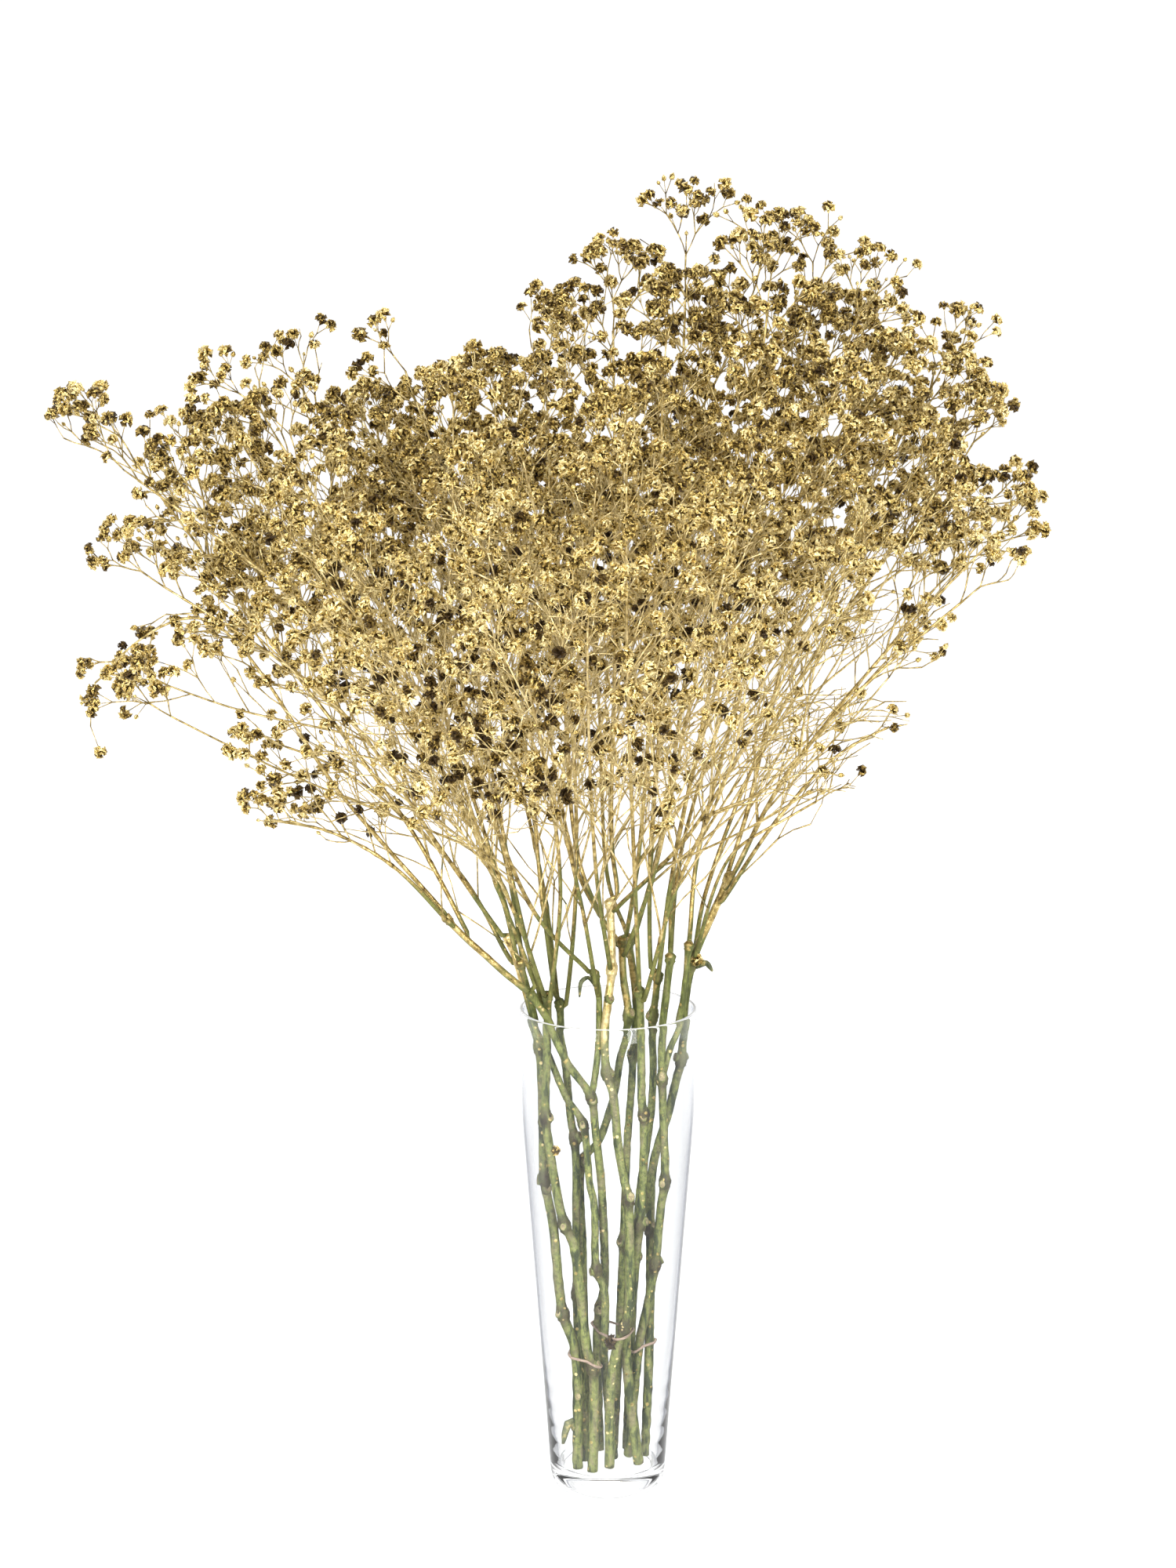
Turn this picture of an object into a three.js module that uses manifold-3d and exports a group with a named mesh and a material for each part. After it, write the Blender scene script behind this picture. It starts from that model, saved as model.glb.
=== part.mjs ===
// A bunch of gold-sprayed gypsophila standing in a tapered glass vase.
// Millimetres, +Z up, origin at the centre of the vase's foot, on the surface it stands on.
import * as THREE from "three";
import { mergeVertices } from "three/addons/utils/BufferGeometryUtils.js";
import Module from "manifold-3d";

const wasm = await Module();
wasm.setup();

// ---------------------------------------------------------------- driving dimensions
const VASE_HEIGHT = 300;
const RIM_RADIUS = 53;
const BASE_RADIUS = 35.2; // outside, just above the rounded heel
const HEEL_RADIUS = 7; // rounding between the foot and the wall
const WALL = 2.3;
const BASE_GLASS = 13; // solid glass under the hollow
const FLOOR_FILLET = 5; // inside corner between floor and wall
const VASE_SIDES = 40;

const SEAT_GAP = 0.3; // between pieces that touch on the real object
const SEAT_DEPTH = 0.95; // share of a cane's radius at which a shoot sits, between its flats and edges
const CLEARANCE = 0.5; // between pieces that only pass each other

const CANE_SIDES = 6;
const NODE_SWELL = 1.3; // how far a node stands out of its cane
const NODE_REACH = 5; // half the height of a node's swelling
const CANE_STEP = 42; // longest stretch between two rings of a cane

const BAND_RADIUS = 0.8;
const BAND_GAP = 0.5;
const BAND_SIDES = 4;
const BAND_STEPS = 40;
const BAND_DIRECTIONS = 72; // directions in which a band is drawn tight round its canes

const SPRAY_FOOT_RADIUS = 1.5; // main branch of a spray, where it leaves its cane
const SPRAY_TIP_RADIUS = 0.6;
const TWIG_RADIUS = 0.7;
const HEAD_RADIUS = 10; // ball that stands for a head of florets
const TWIG_RINGS = [5, 6, 7]; // rings of the main branch that twigs leave from
const TWIG_LONGEST = 53; // a twig at the foot of its branch
const TWIG_SHORTEST = 30; // a twig at the tip of its branch
const TWIG_LEAN = 0.9; // radians between a twig and its branch
const GOLDEN_ANGLE = 2.39996;
const TWIG_TRIES = 60;
const TURN_ON = 0.55; // radians that a twig is turned on when its place is taken
const BRANCH_SIDES = 4;
const BRANCH_STEPS = 8;
const TWIG_SIDES = 3;
const SPRAY_SET_OFF = 9; // first straight stretch of a main branch

const LEAF_THICKNESS = 0.9;
const LEAF_STEPS = 5;
const LEAF_SIDES = 6;

// ---------------------------------------------------------------- materials
const finish = (color, roughness, metalness, extra = {}) =>
  new THREE.MeshStandardMaterial({ color, roughness, metalness, ...extra });
const clearGlass = () => finish("#eef4f6", 0.03, 0, { transparent: true, opacity: 0.3 });
const greenCane = () => finish("#69784b", 0.6, 0.05);
const goldSpray = () => finish("#a08246", 0.38, 0.85);
const driedLeaf = () => finish("#5c6a3c", 0.6, 0.05);
const rubberBand = () => finish("#967d6e", 0.7, 0);

// ---------------------------------------------------------------- the bunch, by hand
// Canes run from the cut end upwards. nodes are the heights of the swollen joints.
const CANES = {
  stem_01: {
    radii: [3.2, 2.3],
    route: [[-18, -12, 13.6], [-20, -14, 91], [-27, -14, 113], [-33, -13, 170], [-38, -11, 197],
      [-39, -11, 235], [-41, -10, 278], [-45, -8, 297], [-53, -5, 325], [-60, 0, 345]],
    nodes: [113, 197, 278, 343],
  },
  stem_02: {
    radii: [3.2, 2.3],
    route: [[-9, -17, 13.6], [-9, -19, 80], [-12, -20, 90], [-21, -21, 160], [-26, -21, 171],
      [-35, -21, 220], [-37, -21, 238], [-36, -23, 281], [-36, -25, 316]],
    nodes: [80, 171, 238, 314],
  },
  stem_03: {
    radii: [2.9, 2.2],
    route: [[-5, 14, 13.6], [-6, 8, 98], [-2, 5, 125], [-3, -5, 173], [-4, -9, 193], [-8, -16, 233],
      [-10, -18, 249], [-25, -26, 274], [-35, -30, 299], [-47, -33, 318]],
    nodes: [249, 317],
    limbs: {
      stem_03_up: { radii: [2, 1.8], route: [[-10, -18, 249], [-8, -19, 261], [-6, -20, 280],
        [-6, -20, 317], [-9, -20, 328]], nodes: [326] },
      stem_03_left: { radii: [2, 1.8], route: [[-47, -33, 318], [-55, -33, 324], [-74, -32, 341],
        [-88, -31, 354], [-97, -30, 364]], nodes: [362] },
    },
  },
  stem_04: {
    radii: [2.6, 1.9],
    route: [[4, 3, 13.6], [-2, -6, 79], [-2, -11, 125], [-7, -12, 141], [-8, -12, 179],
      [-11, -12, 194], [-15, -12, 231], [-25, -13, 248], [-34, -15, 271], [-42, -18, 292],
      [-47, -18, 312], [-53, -17, 334]],
    nodes: [140, 231, 332],
  },
  stem_05: {
    radii: [2.8, 2.2],
    route: [[-14, 0, 13.6], [-18, 2, 95], [-19, 2, 143], [-19, 1, 165], [-19, -1, 191],
      [-20, -2, 219], [-22, -2, 229], [-25, -2, 261], [-28, -3, 285], [-29, -3, 306]],
    nodes: [120, 219, 304],
  },
  stem_06: {
    radii: [3.1, 2.3],
    route: [[1, -12, 13.6], [2, -16, 71], [6, -19, 95], [12, -21, 113], [13, -21, 131],
      [12, -21, 187], [10, -21, 197], [6, -21, 220], [3, -21, 252], [-1, -21, 266],
      [-2, -22, 290], [0, -21, 310], [2, -18, 327], [1, -14, 370]],
    nodes: [107, 187, 265, 328, 368],
  },
  stem_07: {
    radii: [2.6, 2.2],
    route: [[-12, 13, 13.6], [-15, 12, 142], [-15, 9, 202], [-6, 7, 214], [0, 4, 231],
      [4, 0, 247], [7, -4, 268], [10, -7, 283], [12, -9, 297], [9, -8, 321], [8, -6, 345]],
    nodes: [202, 297, 343],
  },
  stem_08: {
    radii: [2.7, 2.1],
    route: [[4, 17, 13.6], [9, 13, 134], [11, 10, 195], [12, 9, 218], [14, 11, 244],
      [15, 13, 262], [15, 14, 271], [17, 16, 293], [15, 18, 317], [12, 20, 340]],
    nodes: [150, 268, 338],
  },
  stem_09: {
    radii: [3.3, 2.2],
    route: [[19, -6, 13.6], [13, -9, 64], [11, -9, 95], [15, -10, 127], [18, -13, 160],
      [20, -17, 177], [21, -26, 241], [20, -28, 248], [19, -34, 301], [18, -37, 322]],
    nodes: [170, 241, 320],
  },
  stem_10: {
    radii: [2.7, 2.1],
    route: [[12, 17, 13.6], [16, 13, 123], [19, 9, 178], [24, 3, 218], [26, 0, 237], [27, -4, 266],
      [26, -6, 287], [27, -8, 298], [30, -8, 324]],
    nodes: [140, 297, 322],
  },
  stem_11: {
    radii: [2.9, 2.2],
    route: [[13, 6, 13.6], [18, 2, 76], [20, 0, 94], [24, -2, 113], [28, -4, 136],
      [29, -5, 144], [32, -8, 179], [34, -11, 195], [33, -13, 232], [32, -16, 260],
      [32, -18, 290], [34, -19, 309], [37, -19, 338]],
    nodes: [141, 195, 260, 336],
    limbs: {
      stem_11_right: { radii: [2, 1.8], route: [[32, -16, 260], [37, -14, 279], [42, -13, 295],
        [45, -13, 312], [48, -14, 344]], nodes: [342] },
    },
  },
  stem_12: {
    radii: [3, 2.3],
    route: [[24, 8, 13.6], [26, 6, 120], [26, 6, 178], [27, 6, 197], [30, 5, 212],
      [36, 4, 232], [41, 3, 254], [44, 2, 267], [45, 0, 290], [46, -1, 304], [49, -2, 323],
      [52, -3, 334], [62, -4, 358], [73, -6, 384]],
    nodes: [160, 267, 329, 381],
  },
};

// Each flowering spray: the cane or limb that carries it, the height where it leaves, the points
// that its main branch passes, and its tip.
const SPRAYS = {
  spray_01_a: { on: "stem_01", at: 344, path: [[-100, -8, 400], [-160, -30, 490], [-300, -15, 583]] },
  spray_01_b: { on: "stem_01", at: 337, path: [[-82, 30, 425], [-130, 80, 536], [-184, 120, 620]] },
  spray_01_c: { on: "stem_01", at: 328, path: [[-90, 20, 379], [-158, 35, 436], [-224, 45, 460]] },
  spray_02_a: { on: "stem_02", at: 314, path: [[-52, -66, 367], [-84, -100, 446], [-130, -150, 520]] },
  spray_02_b: { on: "stem_02", at: 307, path: [[-28, -58, 388], [-43, -130, 508], [-75, -200, 632]] },
  spray_02_c: { on: "stem_02", at: 302, path: [[-59, 0, 388], [-82, 40, 523], [-100, 70, 670]] },
  spray_03_a: { on: "stem_03_left", at: 363,
    path: [[-154, -30, 433], [-235, -20, 538], [-287, -10, 513], [-307, 0, 469]] },
  spray_03_b: { on: "stem_03_left", at: 357, path: [[-126, -50, 398], [-163, -40, 416], [-210, -20, 420]] },
  spray_03_c: { on: "stem_03_left", at: 349, path: [[-119, 0, 412], [-207, 30, 525], [-310, 15, 670]] },
  spray_03_d: { on: "stem_03", at: 317, path: [[-66, -42, 386], [-107, -50, 504], [-221, -30, 696]] },
  spray_03_e: { on: "stem_03_up", at: 327, path: [[-42, -50, 368], [-87, -100, 479], [-185, -140, 615]] },
  spray_03_f: { on: "stem_03_up", at: 312, path: [[-16, -52, 376], [-34, -100, 457], [-71, -190, 562]] },
  spray_04_a: { on: "stem_04", at: 333, path: [[-67, -20, 384], [-138, -60, 517], [-319, -40, 660]] },
  spray_04_b: { on: "stem_04", at: 325, path: [[-63, 10, 396], [-119, 40, 551], [-201, 40, 698]] },
  spray_05_a: { on: "stem_05", at: 305, path: [[-39, 10, 361], [-54, 30, 477], [-132, 20, 717]] },
  spray_05_b: { on: "stem_05", at: 300, path: [[-19, -10, 380], [-25, -60, 517], [-60, -110, 696]] },
  spray_05_c: { on: "stem_05", at: 295, path: [[-40, 50, 367], [-75, 130, 483], [-135, 190, 612]] },
  spray_06_a: { on: "stem_06", at: 369, path: [[2, -10, 402], [4, 0, 530], [2, 10, 758]] },
  spray_06_b: { on: "stem_06", at: 362, path: [[44, -50, 413], [90, -100, 502], [136, -130, 596]] },
  spray_06_c: { on: "stem_06", at: 328, path: [[-7, -60, 393], [-12, -140, 510], [-12, -205, 596]] },
  spray_07_a: { on: "stem_07", at: 333, path: [[26, -40, 389], [45, -120, 506], [72, -190, 631]] },
  spray_07_b: { on: "stem_07", at: 338, path: [[-17, 10, 386], [-28, 40, 523], [-40, 60, 713]] },
  spray_07_c: { on: "stem_07", at: 344, path: [[18, -20, 399], [26, -50, 538], [32, -70, 742]] },
  spray_08_a: { on: "stem_08", at: 339, path: [[0, 60, 365], [-7, 140, 481], [-27, 200, 611]] },
  spray_08_b: { on: "stem_08", at: 332, path: [[31, 60, 385], [51, 120, 509], [61, 160, 635]] },
  spray_08_c: { on: "stem_08", at: 325, path: [[-17, 70, 363], [-41, 140, 457], [-71, 190, 538]] },
  spray_09_a: { on: "stem_09", at: 321, path: [[15, -70, 395], [10, -120, 528], [9, -150, 686]] },
  spray_09_b: { on: "stem_09", at: 313, path: [[38, -70, 386], [67, -140, 474], [77, -190, 545]] },
  spray_10_a: { on: "stem_10", at: 323, path: [[25, -10, 397], [39, 20, 573], [47, 20, 791]] },
  spray_10_b: { on: "stem_10", at: 316, path: [[37, -30, 386], [69, -40, 560], [99, -30, 784]] },
  spray_11_a: { on: "stem_11", at: 337, path: [[40, 10, 391], [86, 40, 570], [131, 40, 766]] },
  spray_11_b: { on: "stem_11_right", at: 343, path: [[53, 0, 393], [103, 10, 575], [156, 10, 749]] },
  spray_11_c: { on: "stem_11", at: 330, path: [[45, 50, 387], [89, 110, 511], [133, 150, 617]] },
  spray_12_a: { on: "stem_12", at: 383, path: [[99, 0, 431], [164, 10, 514], [250, 10, 606]] },
  spray_12_b: { on: "stem_12", at: 378, path: [[82, 12, 414], [112, 20, 529], [215, 30, 711]] },
  spray_12_c: { on: "stem_12", at: 374, path: [[106, -40, 454], [154, -60, 513], [234, -40, 577]] },
  spray_12_d: { on: "stem_12", at: 332, path: [[72, -50, 405], [106, -60, 430], [139, -40, 444]] },
  spray_12_e: { on: "stem_12", at: 366, path: [[98, -30, 420], [135, -20, 458], [188, -10, 483]] },
  spray_12_f: { on: "stem_12", at: 330, path: [[60, 38, 365], [105, 60, 470], [236, 10, 668]] },
};

// Rubber bands: the canes inside each, its height, and how far it rises towards +X.
const BANDS = {
  band_left: { around: ["stem_01", "stem_02", "stem_05"], height: 84, rise: -3 },
  band_middle: { around: ["stem_03", "stem_04", "stem_06", "stem_09"], height: 100, rise: 1 },
  band_right: { around: ["stem_08", "stem_10", "stem_11", "stem_12"], height: 86, rise: 3 },
};

// Leaves left on the canes: carrier, height, the points of the midrib after the seat, width.
const LEAVES = {
  leaf_curled: { on: "stem_03_up", at: 318, width: 4,
    path: [[-12, -24, 324], [-16, -26, 322], [-17, -27, 313]] },
  bract_right: { on: "stem_12", at: 326, width: 6, path: [[58, -9, 329], [62, -12, 325]] },
  leaf_low_left: { on: "stem_01", at: 38, width: 5,
    path: [[-23, -17, 46], [-25, -19, 40], [-26, -19, 32]] },
};

// ---------------------------------------------------------------- curves and rods
const vec = (point) => new THREE.Vector3(...point);

const through = (points) => new THREE.CatmullRomCurve3(points, false, "centripetal");

// The share of a rising curve's length, 0 to 1, at which it reaches a height.
function shareAtHeight(curve, height) {
  let low = 0;
  let high = 1;
  for (let step = 0; step < 24; step += 1) {
    const middle = (low + high) / 2;
    if (curve.getPointAt(middle).z < height) low = middle;
    else high = middle;
  }
  return (low + high) / 2;
}

// The world axis that a curve runs along least: a rod's rings are turned against it.
function steadySide(curve) {
  const run = curve.getPoint(1).sub(curve.getPoint(0));
  const axes = [new THREE.Vector3(1, 0, 0), new THREE.Vector3(0, 1, 0), new THREE.Vector3(0, 0, 1)];
  return axes.sort((a, b) => Math.abs(run.dot(a)) - Math.abs(run.dot(b)))[0];
}

// A closed rod: a cylinder whose rings are moved onto a curve, one ring for each share in shares.
function rodAlong(curve, shares, radiusAt, sides, flatness = 1) {
  const steps = shares.length - 1;
  const rod = new THREE.CylinderGeometry(1, 1, steps, sides, steps);
  const side = steadySide(curve);
  const spot = new THREE.Vector3();
  const { position } = rod.attributes;
  for (let i = 0; i < position.count; i += 1) {
    spot.fromBufferAttribute(position, i);
    const share = shares[Math.round(spot.y + steps / 2)];
    const along = curve.getTangentAt(share);
    const across = new THREE.Vector3().crossVectors(along, side).normalize();
    const outwards = new THREE.Vector3().crossVectors(across, along);
    const radius = radiusAt(share);
    const moved = curve.getPointAt(share)
      .addScaledVector(across, spot.x * radius)
      .addScaledVector(outwards, spot.z * radius * flatness);
    position.setXYZ(i, moved.x, moved.y, moved.z);
  }
  return rod;
}

const evenShares = (count) => Array.from({ length: count + 1 }, (_, i) => i / count);

// ---------------------------------------------------------------- joining solids
function solidOf(geometry) {
  const bare = geometry.clone();
  bare.deleteAttribute("normal");
  bare.deleteAttribute("uv");
  const merged = mergeVertices(bare, 1e-4);
  const corners = merged.index.array;
  const triVerts = [];
  for (let i = 0; i < corners.length; i += 3) {
    const [a, b, c] = [corners[i], corners[i + 1], corners[i + 2]];
    if (a !== b && b !== c && c !== a) triVerts.push(a, b, c);
  }
  return new wasm.Manifold(new wasm.Mesh({
    numProp: 3,
    vertProperties: new Float32Array(merged.attributes.position.array),
    triVerts: new Uint32Array(triVerts),
  }));
}

function joined(geometries) {
  const whole = geometries.map(solidOf).reduce((sum, next) => sum.add(next));
  const { vertProperties, triVerts } = whole.getMesh();
  const geometry = new THREE.BufferGeometry();
  geometry.setAttribute("position", new THREE.BufferAttribute(vertProperties, 3));
  geometry.setIndex(new THREE.BufferAttribute(triVerts, 1));
  geometry.computeVertexNormals();
  return geometry;
}

// ---------------------------------------------------------------- vase
function arcPoints(centreR, centreZ, radius, from, to, steps) {
  const points = [];
  for (let i = 0; i <= steps; i += 1) {
    const angle = from + ((to - from) * i) / steps;
    points.push(new THREE.Vector2(centreR + radius * Math.cos(angle), centreZ + radius * Math.sin(angle)));
  }
  return points;
}

function outerRadiusAt(z) {
  const share = (z - HEEL_RADIUS) / (VASE_HEIGHT - HEEL_RADIUS);
  return THREE.MathUtils.lerp(BASE_RADIUS, RIM_RADIUS, share);
}

function vaseGeometry() {
  const quarter = Math.PI / 2;
  const lip = WALL / 2;
  const floorRadius = outerRadiusAt(BASE_GLASS) - WALL;
  const profile = [
    new THREE.Vector2(0, 0),
    ...arcPoints(BASE_RADIUS - HEEL_RADIUS, HEEL_RADIUS, HEEL_RADIUS, -quarter, 0, 4),
    ...arcPoints(RIM_RADIUS - lip, VASE_HEIGHT - lip, lip, 0, 2 * quarter, 4),
    ...arcPoints(floorRadius - FLOOR_FILLET, BASE_GLASS + FLOOR_FILLET, FLOOR_FILLET, 0, -quarter, 3),
    new THREE.Vector2(0, BASE_GLASS),
  ];
  const vase = new THREE.LatheGeometry(profile, VASE_SIDES);
  vase.rotateX(quarter);
  return joined([vase]);
}

// ---------------------------------------------------------------- canes
// Every cane and limb by name: the shares of its curve where it has a ring, and the rings.
const carriers = {};

// Ring places: three at each node, and no stretch between two rings longer than CANE_STEP.
function ringShares(nodeShares, reach, longest) {
  const wanted = [0, 1, ...nodeShares.flatMap((node) => [node - reach, node, node + reach])];
  const sorted = wanted.filter((share) => share >= 0 && share <= 1).sort((a, b) => a - b);
  const shares = [0];
  for (const share of sorted) {
    const last = shares[shares.length - 1];
    const pieces = Math.ceil((share - last) / longest);
    for (let i = 1; i < pieces; i += 1) shares.push(last + ((share - last) * i) / pieces);
    if (share - last > reach / 4) shares.push(share);
  }
  shares[shares.length - 1] = 1;
  return shares;
}

function addCarrier(name, { radii, route, nodes }) {
  const curve = through(route.map(vec));
  const length = curve.getLength();
  const reach = NODE_REACH / length;
  const nodeShares = nodes.map((height) => shareAtHeight(curve, height));
  const radiusAt = (share) => {
    const swell = nodeShares.reduce((sum, node) => sum + Math.exp(-2 * ((share - node) / reach) ** 2), 0);
    return THREE.MathUtils.lerp(radii[0], radii[1], share) + NODE_SWELL * swell;
  };
  const shares = ringShares(nodeShares, reach, CANE_STEP / length);
  const rings = shares.map((share) => ({ centre: curve.getPointAt(share), radius: radiusAt(share) }));
  carriers[name] = { curve, radiusAt, shares, rings };
}

for (const [name, cane] of Object.entries(CANES)) {
  addCarrier(name, cane);
  for (const [limb, shape] of Object.entries(cane.limbs ?? {})) addCarrier(limb, shape);
}

const limbRod = (name) => {
  const { curve, shares, radiusAt } = carriers[name];
  return rodAlong(curve, shares, radiusAt, CANE_SIDES);
};

const caneGeometry = (name) => joined([name, ...Object.keys(CANES[name].limbs ?? {})].map(limbRod));

// The centre, direction and radius of a cane at a height, on the straight stretch between its rings.
function caneAt(name, height) {
  const { rings } = carriers[name];
  const upper = Math.max(1, rings.findIndex(({ centre }) => centre.z >= height));
  const [low, high] = [rings[upper - 1], rings[upper]];
  const share = (height - low.centre.z) / (high.centre.z - low.centre.z);
  return {
    centre: low.centre.clone().lerp(high.centre, share),
    along: high.centre.clone().sub(low.centre).normalize(),
    radius: THREE.MathUtils.lerp(low.radius, high.radius, share),
  };
}

// ---------------------------------------------------------------- seats on the canes
// Where a shoot of the given radius leaves a cane on its way to a point, and its first direction.
function seatOn({ on, at }, shootRadius, target) {
  const { centre, along, radius } = caneAt(on, at);
  const towards = target.clone().sub(centre);
  const outwards = towards.addScaledVector(along, -towards.dot(along)).normalize();
  const leaving = outwards.clone().add(along).normalize();
  const stand = radius * SEAT_DEPTH + SEAT_GAP + shootRadius * leaving.dot(along);
  return { start: centre.addScaledVector(outwards, stand), leaving };
}

// ---------------------------------------------------------------- bands
// The line of a band: in each direction it lies against the cane that reaches out furthest.
function bandLine({ around, height, rise }) {
  const corners = evenShares(BAND_DIRECTIONS).slice(1).map((share) => {
    const angle = share * 2 * Math.PI;
    const direction = new THREE.Vector3(Math.cos(angle), Math.sin(angle), 0);
    const z = height + rise * direction.x;
    const canes = around.map((name) => caneAt(name, z));
    const reach = ({ centre, radius }) => centre.dot(direction) + radius;
    const outer = canes.reduce((best, next) => (reach(next) > reach(best) ? next : best));
    return outer.centre.addScaledVector(direction, outer.radius + BAND_GAP + BAND_RADIUS);
  });
  const line = new THREE.CurvePath();
  corners.forEach((corner, i) => line.add(new THREE.LineCurve3(corner, corners[(i + 1) % corners.length])));
  return line;
}

function bandGeometry(shape) {
  const line = bandLine(shape);
  const band = new THREE.TorusGeometry(10, 1, BAND_SIDES, BAND_STEPS);
  const upright = new THREE.Vector3(0, 0, 1);
  const { position } = band.attributes;
  for (let i = 0; i < position.count; i += 1) {
    const share = ((i % (BAND_STEPS + 1)) / BAND_STEPS) % 1;
    const turn = (Math.floor(i / (BAND_STEPS + 1)) / BAND_SIDES) * 2 * Math.PI;
    const ahead = line.getPointAt((share + 0.5 / BAND_STEPS) % 1);
    const behind = line.getPointAt((share + 1 - 0.5 / BAND_STEPS) % 1);
    const along = ahead.sub(behind).normalize();
    const outwards = new THREE.Vector3().crossVectors(along, upright).normalize();
    const up = new THREE.Vector3().crossVectors(outwards, along);
    const moved = line.getPointAt(share)
      .addScaledVector(outwards, BAND_RADIUS * Math.cos(turn))
      .addScaledVector(up, BAND_RADIUS * Math.sin(turn));
    position.setXYZ(i, moved.x, moved.y, moved.z);
  }
  return joined([band]);
}

// ---------------------------------------------------------------- leaves
function leafGeometry(leaf) {
  const rib = leaf.path.map(vec);
  const halfWidth = (share) => (leaf.width / 2) * Math.sin(Math.PI * (0.12 + 0.82 * share));
  const { start } = seatOn(leaf, halfWidth(0), rib[0]);
  const curve = through([start, ...rib]);
  return rodAlong(curve, evenShares(LEAF_STEPS), halfWidth, LEAF_SIDES, LEAF_THICKNESS / leaf.width);
}

// ---------------------------------------------------------------- flowering sprays
// Capsules that are already taken: { a, b, radius, owner }.
const taken = [];

// The shortest distance between two straight stretches.
function stretchDistance(p1, q1, p2, q2) {
  const d1 = q1.clone().sub(p1);
  const d2 = q2.clone().sub(p2);
  const r = p1.clone().sub(p2);
  const a = Math.max(d1.dot(d1), 1e-9);
  const e = Math.max(d2.dot(d2), 1e-9);
  const b = d1.dot(d2);
  const c = d1.dot(r);
  const f = d2.dot(r);
  const spread = a * e - b * b;
  let s = spread > 1e-9 ? THREE.MathUtils.clamp((b * f - c * e) / spread, 0, 1) : 0;
  let t = (b * s + f) / e;
  if (t < 0 || t > 1) {
    t = THREE.MathUtils.clamp(t, 0, 1);
    s = THREE.MathUtils.clamp((b * t - c) / a, 0, 1);
  }
  return p1.clone().addScaledVector(d1, s).distanceTo(p2.clone().addScaledVector(d2, t));
}

const isFree = (capsule) => taken.every((other) => other.owner === capsule.owner
  || stretchDistance(capsule.a, capsule.b, other.a, other.b) > capsule.radius + other.radius + CLEARANCE);

function takeCurve(curve, shares, radiusAt, owner) {
  for (let i = 0; i + 1 < shares.length; i += 1) {
    const radius = Math.max(radiusAt(shares[i]), radiusAt(shares[i + 1]));
    taken.push({ a: curve.getPointAt(shares[i]), b: curve.getPointAt(shares[i + 1]), radius, owner });
  }
}

const branchRadius = (share) => SPRAY_FOOT_RADIUS + (SPRAY_TIP_RADIUS - SPRAY_FOOT_RADIUS) * share;

function mainBranch(spray) {
  const passed = spray.path.map(vec);
  const { start, leaving } = seatOn(spray, SPRAY_FOOT_RADIUS, passed[0]);
  const first = start.clone().addScaledVector(leaving, SPRAY_SET_OFF);
  return through([start, first, ...passed]);
}

// A twig from the main branch to a head of florets, turned on round the branch until it is free.
function twigAt(curve, share, number, owner) {
  const foot = curve.getPointAt(share);
  const along = curve.getTangentAt(share);
  const side = new THREE.Vector3().crossVectors(along, steadySide(curve)).normalize();
  for (let turn = 0; turn < TWIG_TRIES; turn += 1) {
    const round = side.clone().applyAxisAngle(along, GOLDEN_ANGLE * number + turn * TURN_ON);
    const direction = along.clone().multiplyScalar(Math.cos(TWIG_LEAN))
      .addScaledVector(round, Math.sin(TWIG_LEAN));
    const wished = THREE.MathUtils.lerp(TWIG_LONGEST, TWIG_SHORTEST, share);
    const length = wished * (1 - turn / (2 * TWIG_TRIES)); // a little shorter at each try
    const tip = foot.clone().addScaledVector(direction, length);
    const twig = { a: foot, b: tip, radius: TWIG_RADIUS, owner };
    const head = { a: tip, b: tip, radius: HEAD_RADIUS, owner };
    if (isFree(twig) && isFree(head)) return { twig, head };
  }
  return null;
}

const headGeometry = (centre) => new THREE.IcosahedronGeometry(HEAD_RADIUS, 0)
  .translate(centre.x, centre.y, centre.z);

function sprayGeometry(name, curve) {
  const pieces = [rodAlong(curve, evenShares(BRANCH_STEPS), branchRadius, BRANCH_SIDES)];
  pieces.push(headGeometry(curve.getPointAt(1)));
  TWIG_RINGS.forEach((ring, number) => {
    const found = twigAt(curve, ring / BRANCH_STEPS, number, name);
    if (!found) return;
    taken.push(found.twig, found.head);
    const line = new THREE.LineCurve3(found.twig.a, found.twig.b);
    pieces.push(rodAlong(line, evenShares(1), () => TWIG_RADIUS, TWIG_SIDES));
    pieces.push(headGeometry(found.head.a));
  });
  return joined(pieces);
}

// ---------------------------------------------------------------- the whole bunch
const bunch = new THREE.Group();

function add(name, geometry, material) {
  const mesh = new THREE.Mesh(geometry, material);
  mesh.name = name;
  bunch.add(mesh);
}

add("vase", vaseGeometry(), clearGlass());

for (const name of Object.keys(CANES)) add(name, caneGeometry(name), greenCane());
for (const [name, band] of Object.entries(BANDS)) add(name, bandGeometry(band), rubberBand());
for (const [name, leaf] of Object.entries(LEAVES)) add(name, leafGeometry(leaf), driedLeaf());

for (const [name, { curve, shares, radiusAt }] of Object.entries(carriers)) {
  takeCurve(curve, shares, radiusAt, name);
}
const branches = Object.entries(SPRAYS).map(([name, spray]) => [name, mainBranch(spray)]);
for (const [name, curve] of branches) {
  takeCurve(curve, evenShares(BRANCH_STEPS * 2), branchRadius, name);
  const tip = curve.getPointAt(1);
  taken.push({ a: tip, b: tip, radius: HEAD_RADIUS, owner: name });
}
for (const [name, curve] of branches) add(name, sprayGeometry(name, curve), goldSpray());

export default bunch;
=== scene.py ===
# %% [markdown]
# # Gold-sprayed gypsophila in a glass vase
# A bunch of gypsophila, sprayed gold and dried, stands in a tapered clear glass vase.
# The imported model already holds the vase, the twelve canes, the rubber bands, the leaves and the
# 39 flowering sprays as plain solids. This script dresses that frame: it keeps each piece where
# the frame has it, and gives it the shape and the finish that a hand would notice.

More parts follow.
